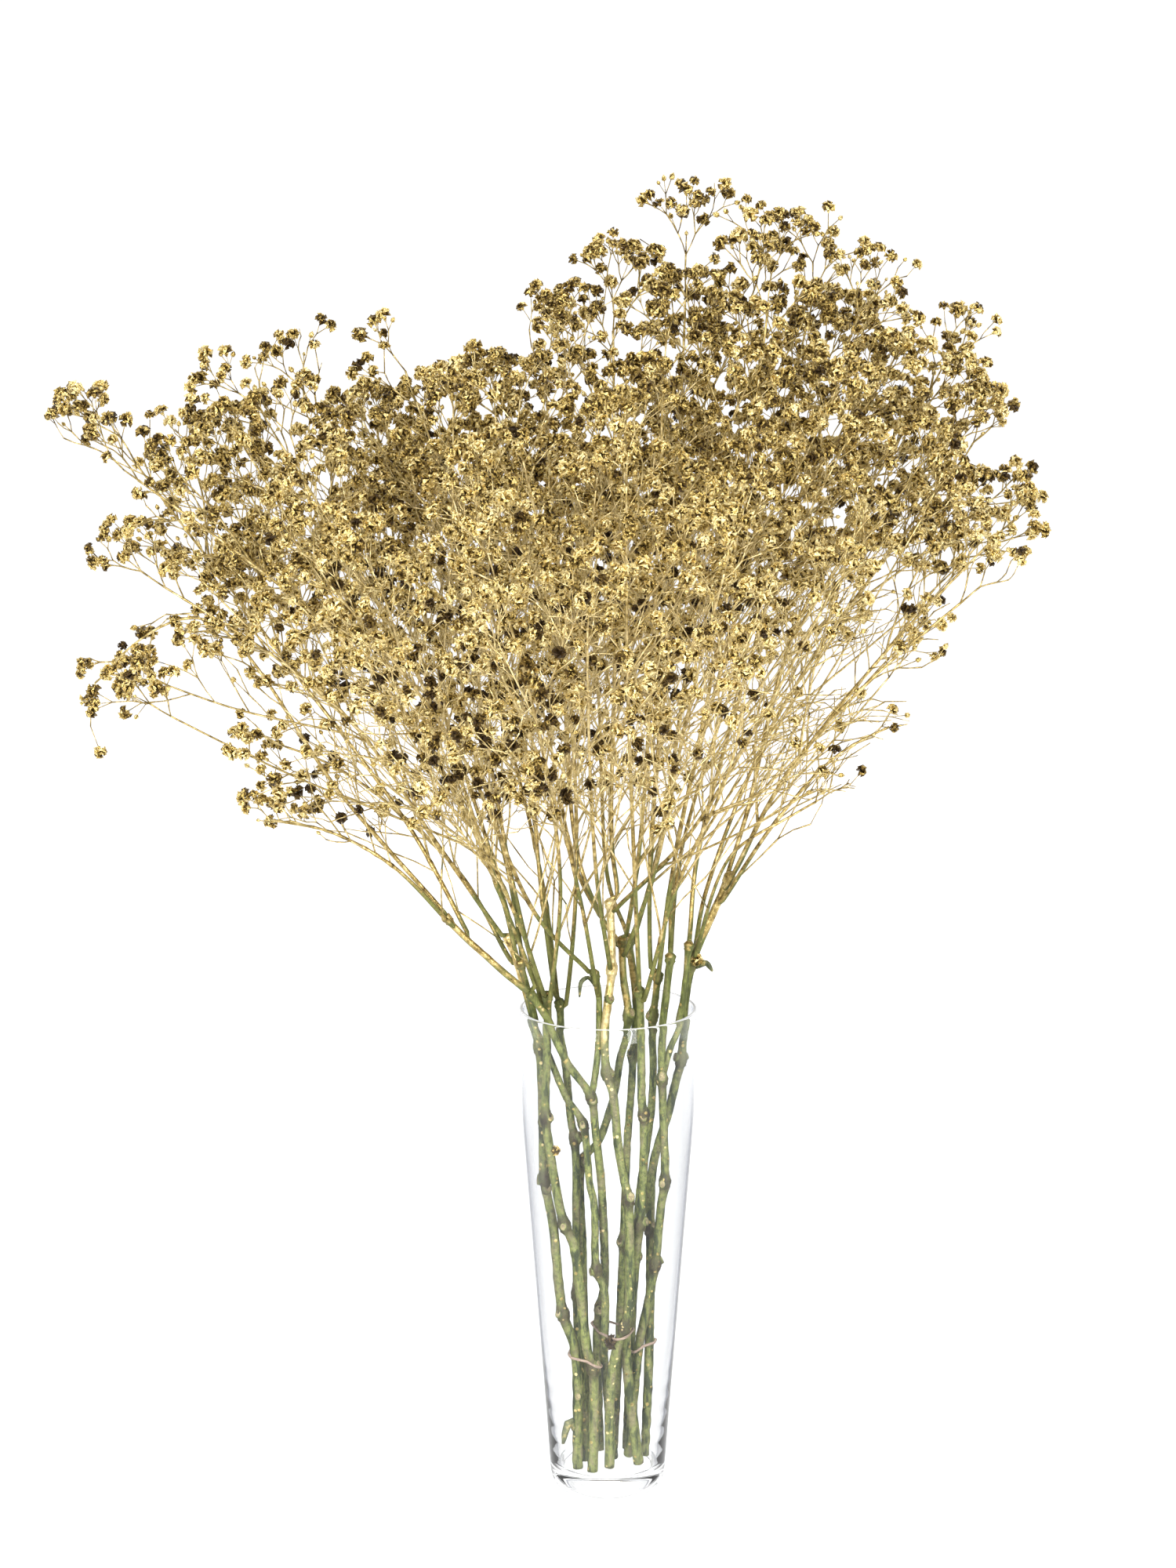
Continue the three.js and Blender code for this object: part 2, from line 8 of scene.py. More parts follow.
# %% Load the frame
import math
import random

import bmesh
import bpy
from mathutils import Matrix, Vector


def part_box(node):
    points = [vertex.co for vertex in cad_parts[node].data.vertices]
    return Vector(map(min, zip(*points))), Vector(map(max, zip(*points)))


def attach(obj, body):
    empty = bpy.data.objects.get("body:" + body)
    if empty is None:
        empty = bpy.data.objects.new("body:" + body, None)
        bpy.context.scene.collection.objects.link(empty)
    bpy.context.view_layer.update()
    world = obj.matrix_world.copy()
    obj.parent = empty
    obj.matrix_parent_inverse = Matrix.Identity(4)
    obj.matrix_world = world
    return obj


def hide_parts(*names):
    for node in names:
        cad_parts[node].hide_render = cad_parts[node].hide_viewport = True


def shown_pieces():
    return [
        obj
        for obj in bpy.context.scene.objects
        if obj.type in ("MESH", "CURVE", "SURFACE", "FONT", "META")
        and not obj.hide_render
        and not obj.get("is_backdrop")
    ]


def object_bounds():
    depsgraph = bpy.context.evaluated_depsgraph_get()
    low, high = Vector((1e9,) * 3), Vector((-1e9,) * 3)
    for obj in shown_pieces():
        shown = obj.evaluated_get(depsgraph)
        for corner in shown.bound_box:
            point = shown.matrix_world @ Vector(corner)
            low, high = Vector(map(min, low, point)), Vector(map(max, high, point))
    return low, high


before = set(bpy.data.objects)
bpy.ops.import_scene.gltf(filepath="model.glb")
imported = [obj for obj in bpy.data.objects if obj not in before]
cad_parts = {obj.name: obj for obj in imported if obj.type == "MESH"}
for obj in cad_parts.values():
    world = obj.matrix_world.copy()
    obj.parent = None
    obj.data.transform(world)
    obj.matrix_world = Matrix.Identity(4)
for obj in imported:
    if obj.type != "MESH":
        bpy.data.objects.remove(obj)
cad_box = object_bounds()
MM = 0.001
scene = bpy.context.scene
print("frame:", len(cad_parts), "nodes,", [round(side, 3) for side in cad_box[1] - cad_box[0]], "m")

# %% [markdown]
# ## Camera
# A tall bunch looks true when it is seen from far off with a long lens, because a near camera
# would swell the front sprays. The camera stands 2.5 m away, a little above the flowers, and
# looks down by almost 12 degrees, so that the foot and the rim of the vase show as flat ellipses.

# %% Camera
CAMERA_AT, LOOKING_DOWN, LENS = (-0.012, -2.5, 0.956), 11.75, 99.2  # metres, degrees, millimetres
camera = bpy.data.objects.new("camera", bpy.data.cameras.new("camera"))
scene.collection.objects.link(camera)
camera.location = CAMERA_AT
camera.rotation_euler = (math.radians(90 - LOOKING_DOWN), 0, 0)
camera.data.sensor_width = 36
camera.data.lens = LENS
camera.data.clip_end = 400
scene.camera = camera
print("camera at", tuple(camera.location), "lens", camera.data.lens)

# %% [markdown]
# ## A kit for finishes
# Every finish is built from noise in the object's own coordinates, so that it stays on the piece
# from every side. A small kit of helpers keeps the node trees short: one makes a material with
# its shader, one adds noise, one turns a number into a colour.


# %% Helpers for finishes
def new_finish(name):
    finish = bpy.data.materials.new(name)
    finish.use_nodes = True
    tree = finish.node_tree
    place = tree.nodes.new("ShaderNodeTexCoord").outputs["Object"]
    return finish, tree, tree.nodes["Principled BSDF"], place


def noise(tree, place, scale, detail=3.0, roughness=0.6):
    node = tree.nodes.new("ShaderNodeTexNoise")
    node.inputs["Scale"].default_value = scale
    node.inputs["Detail"].default_value = detail
    node.inputs["Roughness"].default_value = roughness
    tree.links.new(place, node.inputs["Vector"])
    return node.outputs["Fac"]


def ramp(tree, number, stops):
    node = tree.nodes.new("ShaderNodeValToRGB")
    steps = node.color_ramp.elements
    while len(steps) < len(stops):
        steps.new(0.5)
    for step, (position, colour) in zip(steps, stops):
        step.position = position
        step.color = (*colour, 1)
    tree.links.new(number, node.inputs["Fac"])
    return node.outputs["Color"]


def feed(tree, socket, value):
    """Sets a socket to a plain value, or links it to another node's output."""
    if isinstance(value, (tuple, int, float)):
        socket.default_value = value
    else:
        tree.links.new(value, socket)


def blend(tree, share, first, second):
    node = tree.nodes.new("ShaderNodeMix")
    node.data_type = "RGBA"
    for socket, value in (("Factor", share), ("A", first), ("B", second)):
        feed(tree, node.inputs[socket], value)
    return node.outputs["Result"]


def arithmetic(tree, kind, first, second):
    node = tree.nodes.new("ShaderNodeMath")
    node.operation = kind
    for socket, value in zip(node.inputs, (first, second)):
        feed(tree, socket, value)
    return node.outputs["Value"]


def times(tree, first, second):
    return arithmetic(tree, "MULTIPLY", first, second)


def plus(tree, first, second):
    return arithmetic(tree, "ADD", first, second)


def mapped(tree, number, low, high, to_low=0.0, to_high=1.0):
    node = tree.nodes.new("ShaderNodeMapRange")
    tree.links.new(number, node.inputs["Value"])
    for name, value in (("From Min", low), ("From Max", high), ("To Min", to_low), ("To Max", to_high)):
        node.inputs[name].default_value = value
    return node.outputs["Result"]


def between(tree, share, first, second):
    """first where share is 0, second where it is 1."""
    step = times(tree, share, arithmetic(tree, "SUBTRACT", second, first))
    return plus(tree, first, step)


def split(tree, place):
    """The separate X, Y and Z of a place."""
    node = tree.nodes.new("ShaderNodeSeparateXYZ")
    tree.links.new(place, node.inputs["Vector"])
    return node.outputs


def relief(tree, shader, height, distance, strength=1.0):
    node = tree.nodes.new("ShaderNodeBump")
    node.inputs["Distance"].default_value = distance
    node.inputs["Strength"].default_value = strength
    tree.links.new(height, node.inputs["Height"])
    tree.links.new(node.outputs["Normal"], shader.inputs["Normal"])


def stored(tree, name):
    node = tree.nodes.new("ShaderNodeAttribute")
    node.attribute_name = name
    return node.outputs["Fac"]


# %% [markdown]
# ## Floor and light
# Glass and metal have no look of their own: they show what stands around them. The bunch stands
# before a white backdrop on a white table. The rest of the room is dim, which gives the glass its
# thin dark edges and the gold its contrast. What is seen directly, and what lights the matt
# canes, is plain white. Soft lamps from the front and one from behind give the petals sparkle.

# %% Floor
FLOOR_HALF = 120  # metres, so that its edge is never seen


def mesh_from(bm, name):
    mesh = bpy.data.meshes.new(name)
    bm.to_mesh(mesh)
    bm.free()
    return mesh


bm = bmesh.new()
bmesh.ops.create_grid(bm, x_segments=1, y_segments=1, size=FLOOR_HALF)
floor_mesh = mesh_from(bm, "floor")
floor = bpy.data.objects.new("floor", floor_mesh)
scene.collection.objects.link(floor)
floor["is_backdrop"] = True


def after_bounce(tree, kind):
    """1 if the light was Diffuse, Glossy or Transmission light since it left the eye, else 0."""
    ray = tree.nodes.new("ShaderNodeLightPath")
    return arithmetic(tree, "MINIMUM", ray.outputs[kind + " Depth"], 1.0)


def mirrored_in_glass(tree):
    """1 for light that was thrown back from the inner side of a glass wall, which edges of glass show."""
    return times(tree, after_bounce(tree, "Glossy"), after_bounce(tree, "Transmission"))


FLOOR_SEEN, FLOOR_IN_FRONT, FLOOR_FOR_MATT = 0.72, 0.05, 0.32
MIRRORED_FROM_TO = (-0.6, 0.4)  # metres in front of and behind the vase
PAPER, EDGE_SHADE_GREY = (0.6, 0.6, 0.6), (0.08, 0.10, 0.17)
EDGE_FROM_TO, EDGE_UP_TO, EDGE_GLOW = (0.02, 0.1), (0.66, 0.9), 0.02
paper, tree, shader, place = new_finish("white_paper")
shader.inputs["Roughness"].default_value = 0.9
shader.inputs["Emission Color"].default_value = (1, 1, 1, 1)
where = split(tree, place)
mirrored = mapped(tree, where["Y"], *MIRRORED_FROM_TO, FLOOR_IN_FRONT, FLOOR_SEEN + 0.2)
shine = between(tree, after_bounce(tree, "Glossy"), FLOOR_SEEN, mirrored)
shine = between(tree, after_bounce(tree, "Diffuse"), shine, FLOOR_FOR_MATT)
# Seen mirrored inside the sides of the glass, the floor turns grey: a painted shade that draws the vase's dark
# edges.
sideways = mapped(tree, arithmetic(tree, "ABSOLUTE", where["X"], 0.0), *EDGE_FROM_TO)
sideways = times(tree, sideways, mapped(tree, where["Y"], *EDGE_UP_TO, 1.0, 0.0))
dark = times(tree, mirrored_in_glass(tree), sideways)
tree.links.new(blend(tree, dark, (*PAPER, 1), (*EDGE_SHADE_GREY, 1)), shader.inputs["Base Color"])
tree.links.new(between(tree, dark, shine, EDGE_GLOW), shader.inputs["Emission Strength"])
floor_mesh.materials.append(paper)

# %% Room
WHITE, DIM_WALL, CEILING, SOFT = 1.1, 0.12, 1.3, 0.44
scene.view_settings.view_transform = "Standard"
room = bpy.data.worlds.new("room")
scene.world = room
room.use_nodes = True
tree = room.node_tree
tree.nodes.clear()
facing = split(tree, tree.nodes.new("ShaderNodeTexCoord").outputs["Generated"])
backdrop = mapped(tree, facing["Y"], -0.35, 0.25, DIM_WALL, WHITE)
ceiling = mapped(tree, facing["Z"], 0.2, 0.8, 0.0, CEILING)
strength = arithmetic(tree, "MAXIMUM", backdrop, ceiling)
strength = between(tree, after_bounce(tree, "Glossy"), WHITE, strength)
strength = between(tree, after_bounce(tree, "Diffuse"), strength, SOFT)
glow = tree.nodes.new("ShaderNodeBackground")
glow.inputs["Color"].default_value = (1, 1, 1, 1)
tree.links.new(strength, glow.inputs["Strength"])
world_end = tree.nodes.new("ShaderNodeOutputWorld")
tree.links.new(glow.outputs["Background"], world_end.inputs["Surface"])


# %% Lamps
def soft_lamp(name, place, aim, size, power):
    lamp = bpy.data.lights.new(name, "AREA")
    lamp.shape = "RECTANGLE"
    lamp.size, lamp.size_y = size
    lamp.energy = power
    stand = bpy.data.objects.new(name, lamp)
    scene.collection.objects.link(stand)
    stand.location = place
    stand.rotation_euler = (Vector(aim) - Vector(place)).to_track_quat("-Z", "Y").to_euler()


soft_lamp("key_lamp", (-0.95, -2.2, 1.1), (0, 0, 0.45), (0.7, 1.0), 55)
soft_lamp("side_lamp", (1.2, -2.0, 0.85), (0, 0, 0.45), (0.5, 1.0), 35)
soft_lamp("back_lamp", (0.3, 1.8, 1.8), (0, 0, 0.5), (1.4, 0.6), 9)

# %% [markdown]
# ## Smooth lines
# A cane is not a straight rod: it runs through its joints in a gentle curve. Each line here is
# given by a few points and passes through all of them. The curve between the points is the same
# as in the frame, so that what is built on it stays where the frame has it.

# %% A line through points
STEPS_A_STRETCH = 16


def stretch_between(before, start, end, after):
    """Points from start up to end on the centripetal Catmull-Rom curve."""
    gaps = [max((b - a).length ** 0.5, 1e-4) for a, b in ((before, start), (start, end), (end, after))]
    leave = (start - before) / gaps[0] - (end - before) / (gaps[0] + gaps[1]) + (end - start) / gaps[1]
    arrive = (end - start) / gaps[1] - (after - start) / (gaps[1] + gaps[2]) + (after - end) / gaps[2]
    leave, arrive = leave * gaps[1], arrive * gaps[1]
    for step in range(STEPS_A_STRETCH):
        t = step / STEPS_A_STRETCH
        yield (start + leave * t + (3 * (end - start) - 2 * leave - arrive) * t ** 2
               + (2 * (start - end) + leave + arrive) * t ** 3)


class Line:
    """A smooth line, measured in shares of its length from 0 to 1."""

    def __init__(self, points):
        ghosts = [2 * points[0] - points[1], *points, 2 * points[-1] - points[-2]]
        self.points = []
        for four in zip(ghosts, ghosts[1:], ghosts[2:], ghosts[3:]):
            self.points += stretch_between(*four)
        self.points.append(points[-1].copy())
        self.run = [0.0]
        for a, b in zip(self.points, self.points[1:]):
            self.run.append(self.run[-1] + (b - a).length)
        self.length = self.run[-1]

    def at(self, share):
        wanted = min(max(share, 0), 1) * self.length
        low, high = 0, len(self.run) - 1
        while high - low > 1:
            middle = (low + high) // 2
            low, high = (middle, high) if self.run[middle] <= wanted else (low, middle)
        share = (wanted - self.run[low]) / (self.run[high] - self.run[low])
        return self.points[low].lerp(self.points[high], share)

    def along(self, share):
        return (self.at(share + 0.004) - self.at(share - 0.004)).normalized()

    def share_at_height(self, height):
        low, high = 0.0, 1.0
        for _ in range(24):
            middle = (low + high) / 2
            low, high = (middle, high) if self.at(middle).z < height else (low, middle)
        return (low + high) / 2


def millimetres(points):
    return [Vector(point) * MM for point in points]


# %% [markdown]
# ## Round rods along lines
# Canes, twigs and bands are all round rods of changing thickness. A rod could be a stack of
# circles, extruded and moved ring by ring. Blender's curves do the same with less work: each
# point of a curve has a radius, the bevel makes it round, and the caps close its ends. The
# curves are then turned into a mesh, so that a rod can be joined with petals and scars.


# %% Rods
def rods(lines, resolution, cyclic=False):
    """One mesh of closed rods. A line is a list of (point, radius); more resolution, more sides."""
    curve = bpy.data.curves.new("rods", "CURVE")
    curve.dimensions = "3D"
    curve.bevel_depth = 1.0
    curve.bevel_resolution = resolution
    curve.use_fill_caps = True
    for line in lines:
        spline = curve.splines.new("POLY")
        spline.points.add(len(line) - 1)
        spline.use_cyclic_u = cyclic
        for knot, (point, radius) in zip(spline.points, line):
            knot.co = (*point, 1)
            knot.radius = radius
    shown = bpy.data.objects.new("rods", curve)
    mesh = bpy.data.meshes.new_from_object(shown)
    bpy.data.objects.remove(shown)
    bpy.data.curves.remove(curve)
    return mesh


def make_smooth(faces):
    for face in faces:
        face.smooth = True


def solid_from(mesh):
    """A bmesh of closed solids: doubles merged, faces outward, smooth."""
    bm = bmesh.new()
    bm.from_mesh(mesh)
    bpy.data.meshes.remove(mesh)
    bmesh.ops.remove_doubles(bm, verts=bm.verts, dist=1e-7)
    bmesh.ops.recalc_face_normals(bm, faces=bm.faces)
    make_smooth(bm.faces)
    return bm


def add_piece(name, bm, node, finishes):
    """Turns a bmesh into a piece that stands for a node of the frame."""
    open_edges = sum(1 for edge in bm.edges if len(edge.link_faces) != 2)
    mesh = mesh_from(bm, name)
    for finish in finishes:
        mesh.materials.append(finish)
    piece = bpy.data.objects.new(name, mesh)
    scene.collection.objects.link(piece)
    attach(piece, "root")
    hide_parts(node)
    return piece, open_edges


# %% [markdown]
# ## Finishes
# ### Gold on the florets
# The spray can wets the tips of the petals and leaves their pits bare and brown; the dark pits are
# also a painted shade, where the petals shade each other. Each petal point carries a number "depth",
# 0 in a pit and 1 on a tip, and each floret carries a "tone", because some heads in the shade of
# others got hardly any paint. The tone is also a painted light: higher in the lower middle of the
# crown, where it makes up for the crown's own shade, and lower at the top, against the lamps. The
# two numbers choose the colour.

# %% Gold florets
GOLD_BARE_AND_SHADE = (0.034, 0.018, 0.005)
GOLD_DARK = (0.145, 0.088, 0.018)
GOLD_MID = (0.76, 0.56, 0.175)
GOLD_LIGHT = (1.0, 0.85, 0.44)

floret_gold, tree, shader, place = new_finish("floret_gold")
depth = stored(tree, "depth")
tone = stored(tree, "tone")
mottle = noise(tree, place, 620, 2.0, 0.7)
paint = plus(tree, mapped(tree, depth, 0, 1, 0.12, 0.88), mapped(tree, mottle, 0.35, 0.65, -0.3, 0.36))
paint = times(tree, paint, mapped(tree, tone, 0, 1, 0.22, 1.2))
colour = ramp(tree, paint, [(0.15, GOLD_BARE_AND_SHADE), (0.36, GOLD_DARK), (0.56, GOLD_MID), (0.92, GOLD_LIGHT)])
tree.links.new(colour, shader.inputs["Base Color"])
tree.links.new(mapped(tree, paint, 0.1, 0.5, 0.3, 0.85), shader.inputs["Metallic"])
tree.links.new(mapped(tree, mottle, 0.3, 0.7, 0.24, 0.44), shader.inputs["Roughness"])
shader.inputs["Specular IOR Level"].default_value = 0.3
relief(tree, shader, noise(tree, place, 700, 2.0), 0.0016, 1.0)

# %% [markdown]
# ### Gold on the twigs and canes
# The can was held over the crown and in front of it, so the paint thins out downwards and lies on
# one side: the twigs are gold all round, the canes near the rim are green with a gold flank and
# gold freckles, and in the vase only a few specks are left. The side that faces away stays dark
# bark, which also paints the shade on that side. The height, the way the surface faces and some
# noise add up to one number, which blends bark into gold. Above the rim the bark turns a lighter
# green, a painted light that makes up for the crown's shade, and the twigs' gold is brighter in
# the middle of the crown, a painted light as well. A second number, "joint", is 1 in the crook of
# a joint, where the bark is brown and dirty.

# %% Bark and gold
BARK_LIGHT = (0.190, 0.212, 0.060)
BARK_DARK = (0.032, 0.042, 0.016)
BARK_GREY = (0.185, 0.165, 0.085)
TWIG_BARK = ((0.050, 0.044, 0.015), (0.150, 0.150, 0.040), (0.20, 0.170, 0.060))
JOINT_BROWN = (0.040, 0.028, 0.017)
TWIG_DARK = (0.10, 0.064, 0.018)
TWIG_MID = (0.52, 0.385, 0.135)
TWIG_LIGHT = (0.92, 0.76, 0.40)
SPRAYED_AND_LIT_FROM = (-0.45, -0.55, 0.70)
ALONG_THE_GRAIN = (230, 230, 60)
SPECKS_PER_METRE = 230
OVER_THE_RIM = (0.24, 0.30)
LIT_ABOVE_RIM = (0.26, 0.33)
BARK_LIT_ABOVE_RIM = (0.25, 0.27, 0.07)


def bark_to_gold(name, barks, low, high, specks, one_sided):
    """Green bark that turns gold between two heights, with specks of paint lower down."""
    finish, tree, shader, place = new_finish(name)
    height = split(tree, place)["Z"]
    stretched = tree.nodes.new("ShaderNodeVectorMath")
    stretched.operation = "MULTIPLY"
    stretched.inputs[1].default_value = ALONG_THE_GRAIN
    tree.links.new(place, stretched.inputs[0])
    patches = noise(tree, stretched.outputs["Vector"], 1.0, 4.0, 0.65)
    fine = noise(tree, place, 420, 3.0, 0.6)
    bark = ramp(tree, patches, [(0.41, barks[0]), (0.5, barks[1]), (0.62, barks[2])])
    bark = blend(tree, mapped(tree, fine, 0.4, 0.7, 0.0, 0.8), bark, (*barks[0], 1))
    # Above the rim the bark blends towards a lighter green: a painted light that makes up for the crown's
    # shade.
    bark = blend(tree, mapped(tree, height, *LIT_ABOVE_RIM, 0.0, 0.3), bark, (*BARK_LIT_ABOVE_RIM, 1))
    dirt = times(tree, stored(tree, "joint"), mapped(tree, fine, 0.3, 0.6, 1.2, 0.5))
    dirt = times(tree, dirt, mapped(tree, height, *OVER_THE_RIM, 1.0, 0.3))
    bark = blend(tree, dirt, bark, (*JOINT_BROWN, 1))
    # The stored paint number makes the gold brighter. On the canes it is how much paint a cane got; on the
    # twigs it is highest in the middle of the crown, a painted light for the crown's own shade.
    brightness = mapped(tree, stored(tree, "paint_and_light"), 0, 1, -0.06, 0.16)
    brightness = plus(tree, noise(tree, place, 240, 2.0), brightness)
    sheen = ramp(tree, brightness, [(0.25, TWIG_DARK), (0.5, TWIG_MID), (0.72, TWIG_LIGHT)])
    # Faces turned away from the spray stay bark: missing paint, and also a painted shade on the side away from
    # the lamps.
    faced = tree.nodes.new("ShaderNodeVectorMath")
    faced.operation = "DOT_PRODUCT"
    faced.inputs[1].default_value = SPRAYED_AND_LIT_FROM
    tree.links.new(tree.nodes.new("ShaderNodeTexCoord").outputs["Normal"], faced.inputs[0])
    risen = mapped(tree, height, low, high, -0.75, 1.0)
    covered = plus(tree, risen, mapped(tree, faced.outputs["Value"], -1, 1, -one_sided, 0.35))
    covered = plus(tree, covered, mapped(tree, noise(tree, place, 28, 3.0), 0.3, 0.7, -0.4, 0.4))
    paint_and_light = times(tree, stored(tree, "paint_and_light"), mapped(tree, height, *OVER_THE_RIM))
    covered = mapped(tree, plus(tree, covered, paint_and_light), 0.2, 0.4)
    cells = tree.nodes.new("ShaderNodeTexVoronoi")
    cells.inputs["Scale"].default_value = SPECKS_PER_METRE
    tree.links.new(place, cells.inputs["Vector"])
    dots = mapped(tree, cells.outputs["Distance"], 0.19, 0.27, 1.0, 0.0)
    dots = times(tree, dots, mapped(tree, noise(tree, place, 110, 1.0), specks, specks + 0.04))
    gold = arithmetic(tree, "MAXIMUM", covered, dots)
    tree.links.new(blend(tree, gold, bark, sheen), shader.inputs["Base Color"])
    tree.links.new(mapped(tree, gold, 0, 1, 0.0, 0.6), shader.inputs["Metallic"])
    tree.links.new(mapped(tree, gold, 0, 1, 0.6, 0.36), shader.inputs["Roughness"])
    shader.inputs["Specular IOR Level"].default_value = 0.25
    relief(tree, shader, fine, 0.0006, 0.6)
    return finish


cane_bark = bark_to_gold("cane_bark", (BARK_DARK, BARK_LIGHT, BARK_GREY), 0.26, 0.41, 0.48, 0.35)
twig_gold = bark_to_gold("twig_gold", TWIG_BARK, 0.27, 0.46, 0.46, 0.55)

# %% [markdown]
# ### Cut wood, rubber and leaf
# A cut shoot leaves a pale brown oval with a darker rim. The bands are dull brown rubber, and the
# last leaves are dry and olive.

# %% Cut wood, rubber, leaf
def dry_finish(name, scale, detail, stops, roughness, relief_depth):
    """A dull finish whose colour and relief follow the same noise."""
    finish, tree, shader, place = new_finish(name)
    grain = noise(tree, place, scale, detail)
    tree.links.new(ramp(tree, grain, stops), shader.inputs["Base Color"])
    shader.inputs["Roughness"].default_value = roughness
    relief(tree, shader, grain, relief_depth)
    return finish


WOOD_COLOURS = [(0.3, (0.10, 0.075, 0.04)), (0.5, (0.25, 0.20, 0.105)), (0.7, (0.40, 0.35, 0.19))]
RUBBER_COLOURS = [(0.3, (0.20, 0.135, 0.10)), (0.7, (0.36, 0.27, 0.21))]
LEAF_COLOURS = [(0.35, (0.035, 0.045, 0.015)), (0.55, (0.11, 0.12, 0.045)), (0.72, (0.42, 0.33, 0.12))]
cut_wood = dry_finish("cut_wood", 700, 4.0, WOOD_COLOURS, 0.8, 0.0008)
band_rubber = dry_finish("band_rubber", 500, 3.0, RUBBER_COLOURS, 0.75, 0.0005)
dry_leaf = dry_finish("dry_leaf", 300, 4.0, LEAF_COLOURS, 0.55, 0.0006)

# %% [markdown]
# ### Clear glass
# Clear glass shows only at its edges: there the eye looks along the wall instead of through it,
# and the wall is thick enough to look grey-blue. The colour follows how steeply a face is seen; it
# is darker than the glass alone would be, a painted reflection of the dim room at the edges.
# Light from lamps passes straight through, so that the canes inside are lit as they should be.
# The very top of the rim is a bead that gathers light from all round; its faces get a whiter,
# less clear glass, a painted highlight that looks white.

# %% Glass
BENDING_OF_LIGHT = 1.45
vase_glass, tree, shader, _ = new_finish("vase_glass")
shader.inputs["Transmission Weight"].default_value = 1.0
shader.inputs["Roughness"].default_value = 0.0
shader.inputs["IOR"].default_value = BENDING_OF_LIGHT
shader.inputs["Specular IOR Level"].default_value = 0.3
steep = tree.nodes.new("ShaderNodeLayerWeight")
steep.inputs["Blend"].default_value = 0.5
# The edge colour is partly the glass's own grey-blue and partly a painted reflection of the dim room.
edge_tint_and_shade = ramp(tree, steep.outputs["Facing"],
            [(0.78, (0.985, 0.99, 0.99)), (0.86, (0.72, 0.75, 0.83)),
             (0.95, (0.33, 0.37, 0.48)), (1.0, (0.10, 0.13, 0.20))])
tree.links.new(edge_tint_and_shade, shader.inputs["Base Color"])
passing = tree.nodes.new("ShaderNodeBsdfTransparent")
passing.inputs["Color"].default_value = (0.96, 0.97, 0.97, 1)
path = tree.nodes.new("ShaderNodeLightPath")
either = tree.nodes.new("ShaderNodeMixShader")
tree.links.new(path.outputs["Is Shadow Ray"], either.inputs[0])
tree.links.new(shader.outputs["BSDF"], either.inputs[1])
tree.links.new(passing.outputs["BSDF"], either.inputs[2])
tree.links.new(either.outputs["Shader"], tree.nodes["Material Output"].inputs["Surface"])

rim_highlight_glass, tree, shader, _ = new_finish("rim_highlight_glass")
shader.inputs["Base Color"].default_value = (0.95, 0.96, 0.97, 1)
shader.inputs["Transmission Weight"].default_value = 0.3
shader.inputs["Roughness"].default_value = 0.12
shader.inputs["IOR"].default_value = BENDING_OF_LIGHT

# %% [markdown]
# ## The vase
# The vase is blown: a thick base with a rounded heel, a thin straight wall and a rim rounded in
# the fire. Towards the base the wall grows thicker and a little wavy. Its cut is drawn once, from
# the centre of the foot up the outside, over the rim and down the inside, and then spun round the
# upright axis. The heel meets the foot at a slope of 37 degrees: a steeper one would throw back
# the light that comes up through the base, and would look like a black ring.

# %% Vase
VASE_HEIGHT, RIM_RADIUS, BASE_RADIUS = 300 * MM, 53 * MM, 35 * MM
HEEL, HEEL_HEIGHT, TOE, BEAD = 18.94 * MM, 12 * MM, 0.4 * MM, 1.1 * MM
RIM_HIGHLIGHT_DEPTH = 0.45 * MM
FOOT_EDGE, HEEL_SLOPE = 30.89 * MM, 37
WALL, BASE_GLASS, FILLET = 1.3 * MM, 13 * MM, 5 * MM
VASE_SIDES = 128
THICKER_FROM, THICKEST_AT, THICKENING = 95 * MM, 18 * MM, 3.4 * MM
RIPPLE, RIPPLE_TURN, RING_GAP, RINGS = 0.14 * MM, 1.9, 3.5, 23
# (height, outer radius) between the heel and the rim: almost straight, and upright at the top
SIDE = [(height * MM, radius * MM) for height, radius in (
    (45, 37.3), (234, 51.8), (262, 52.7), (285, 53), (297, 53))]


def arc(centre, radius, start, end, steps):
    for step in range(steps + 1):
        angle = math.radians(start + (end - start) * step / steps)
        yield Vector((centre[0] + radius * math.cos(angle), 0, centre[1] + radius * math.sin(angle)))


cut = [Vector((0, 0, 0.0006)), Vector((0.02, 0, 0.0004))]
cut += arc((FOOT_EDGE, TOE + 0.4 * MM), TOE, -90, -HEEL_SLOPE, 3)
cut += arc((BASE_RADIUS - HEEL, HEEL_HEIGHT), HEEL, -HEEL_SLOPE, 0, 8)
cut += [Vector((radius, 0, height)) for height, radius in SIDE]
cut += arc((RIM_RADIUS - BEAD, VASE_HEIGHT - BEAD), BEAD, 0, 180, 10)
cut += [Vector((radius - WALL, 0, height)) for height, radius in reversed(SIDE[1:])]
for step in range(RINGS):
    height = THICKER_FROM - step * RING_GAP * MM
    share = (THICKER_FROM - height) / (THICKER_FROM - THICKEST_AT)
    outer = BASE_RADIUS + (SIDE[1][1] - BASE_RADIUS) * (height - HEEL_HEIGHT) / (SIDE[1][0] - HEEL_HEIGHT)
    inner = outer - WALL - THICKENING * share ** 2.0 + RIPPLE * share * math.sin(step * RIPPLE_TURN)
    cut.append(Vector((inner, 0, height)))
cut += arc((cut[-1].x - FILLET, BASE_GLASS + FILLET), FILLET, 0, -90, 8)
cut += [Vector((0, 0, BASE_GLASS - 0.0006))]
bm = bmesh.new()
corners = [bm.verts.new(point) for point in cut]
for a, b in zip(corners, corners[1:]):
    bm.edges.new((a, b))
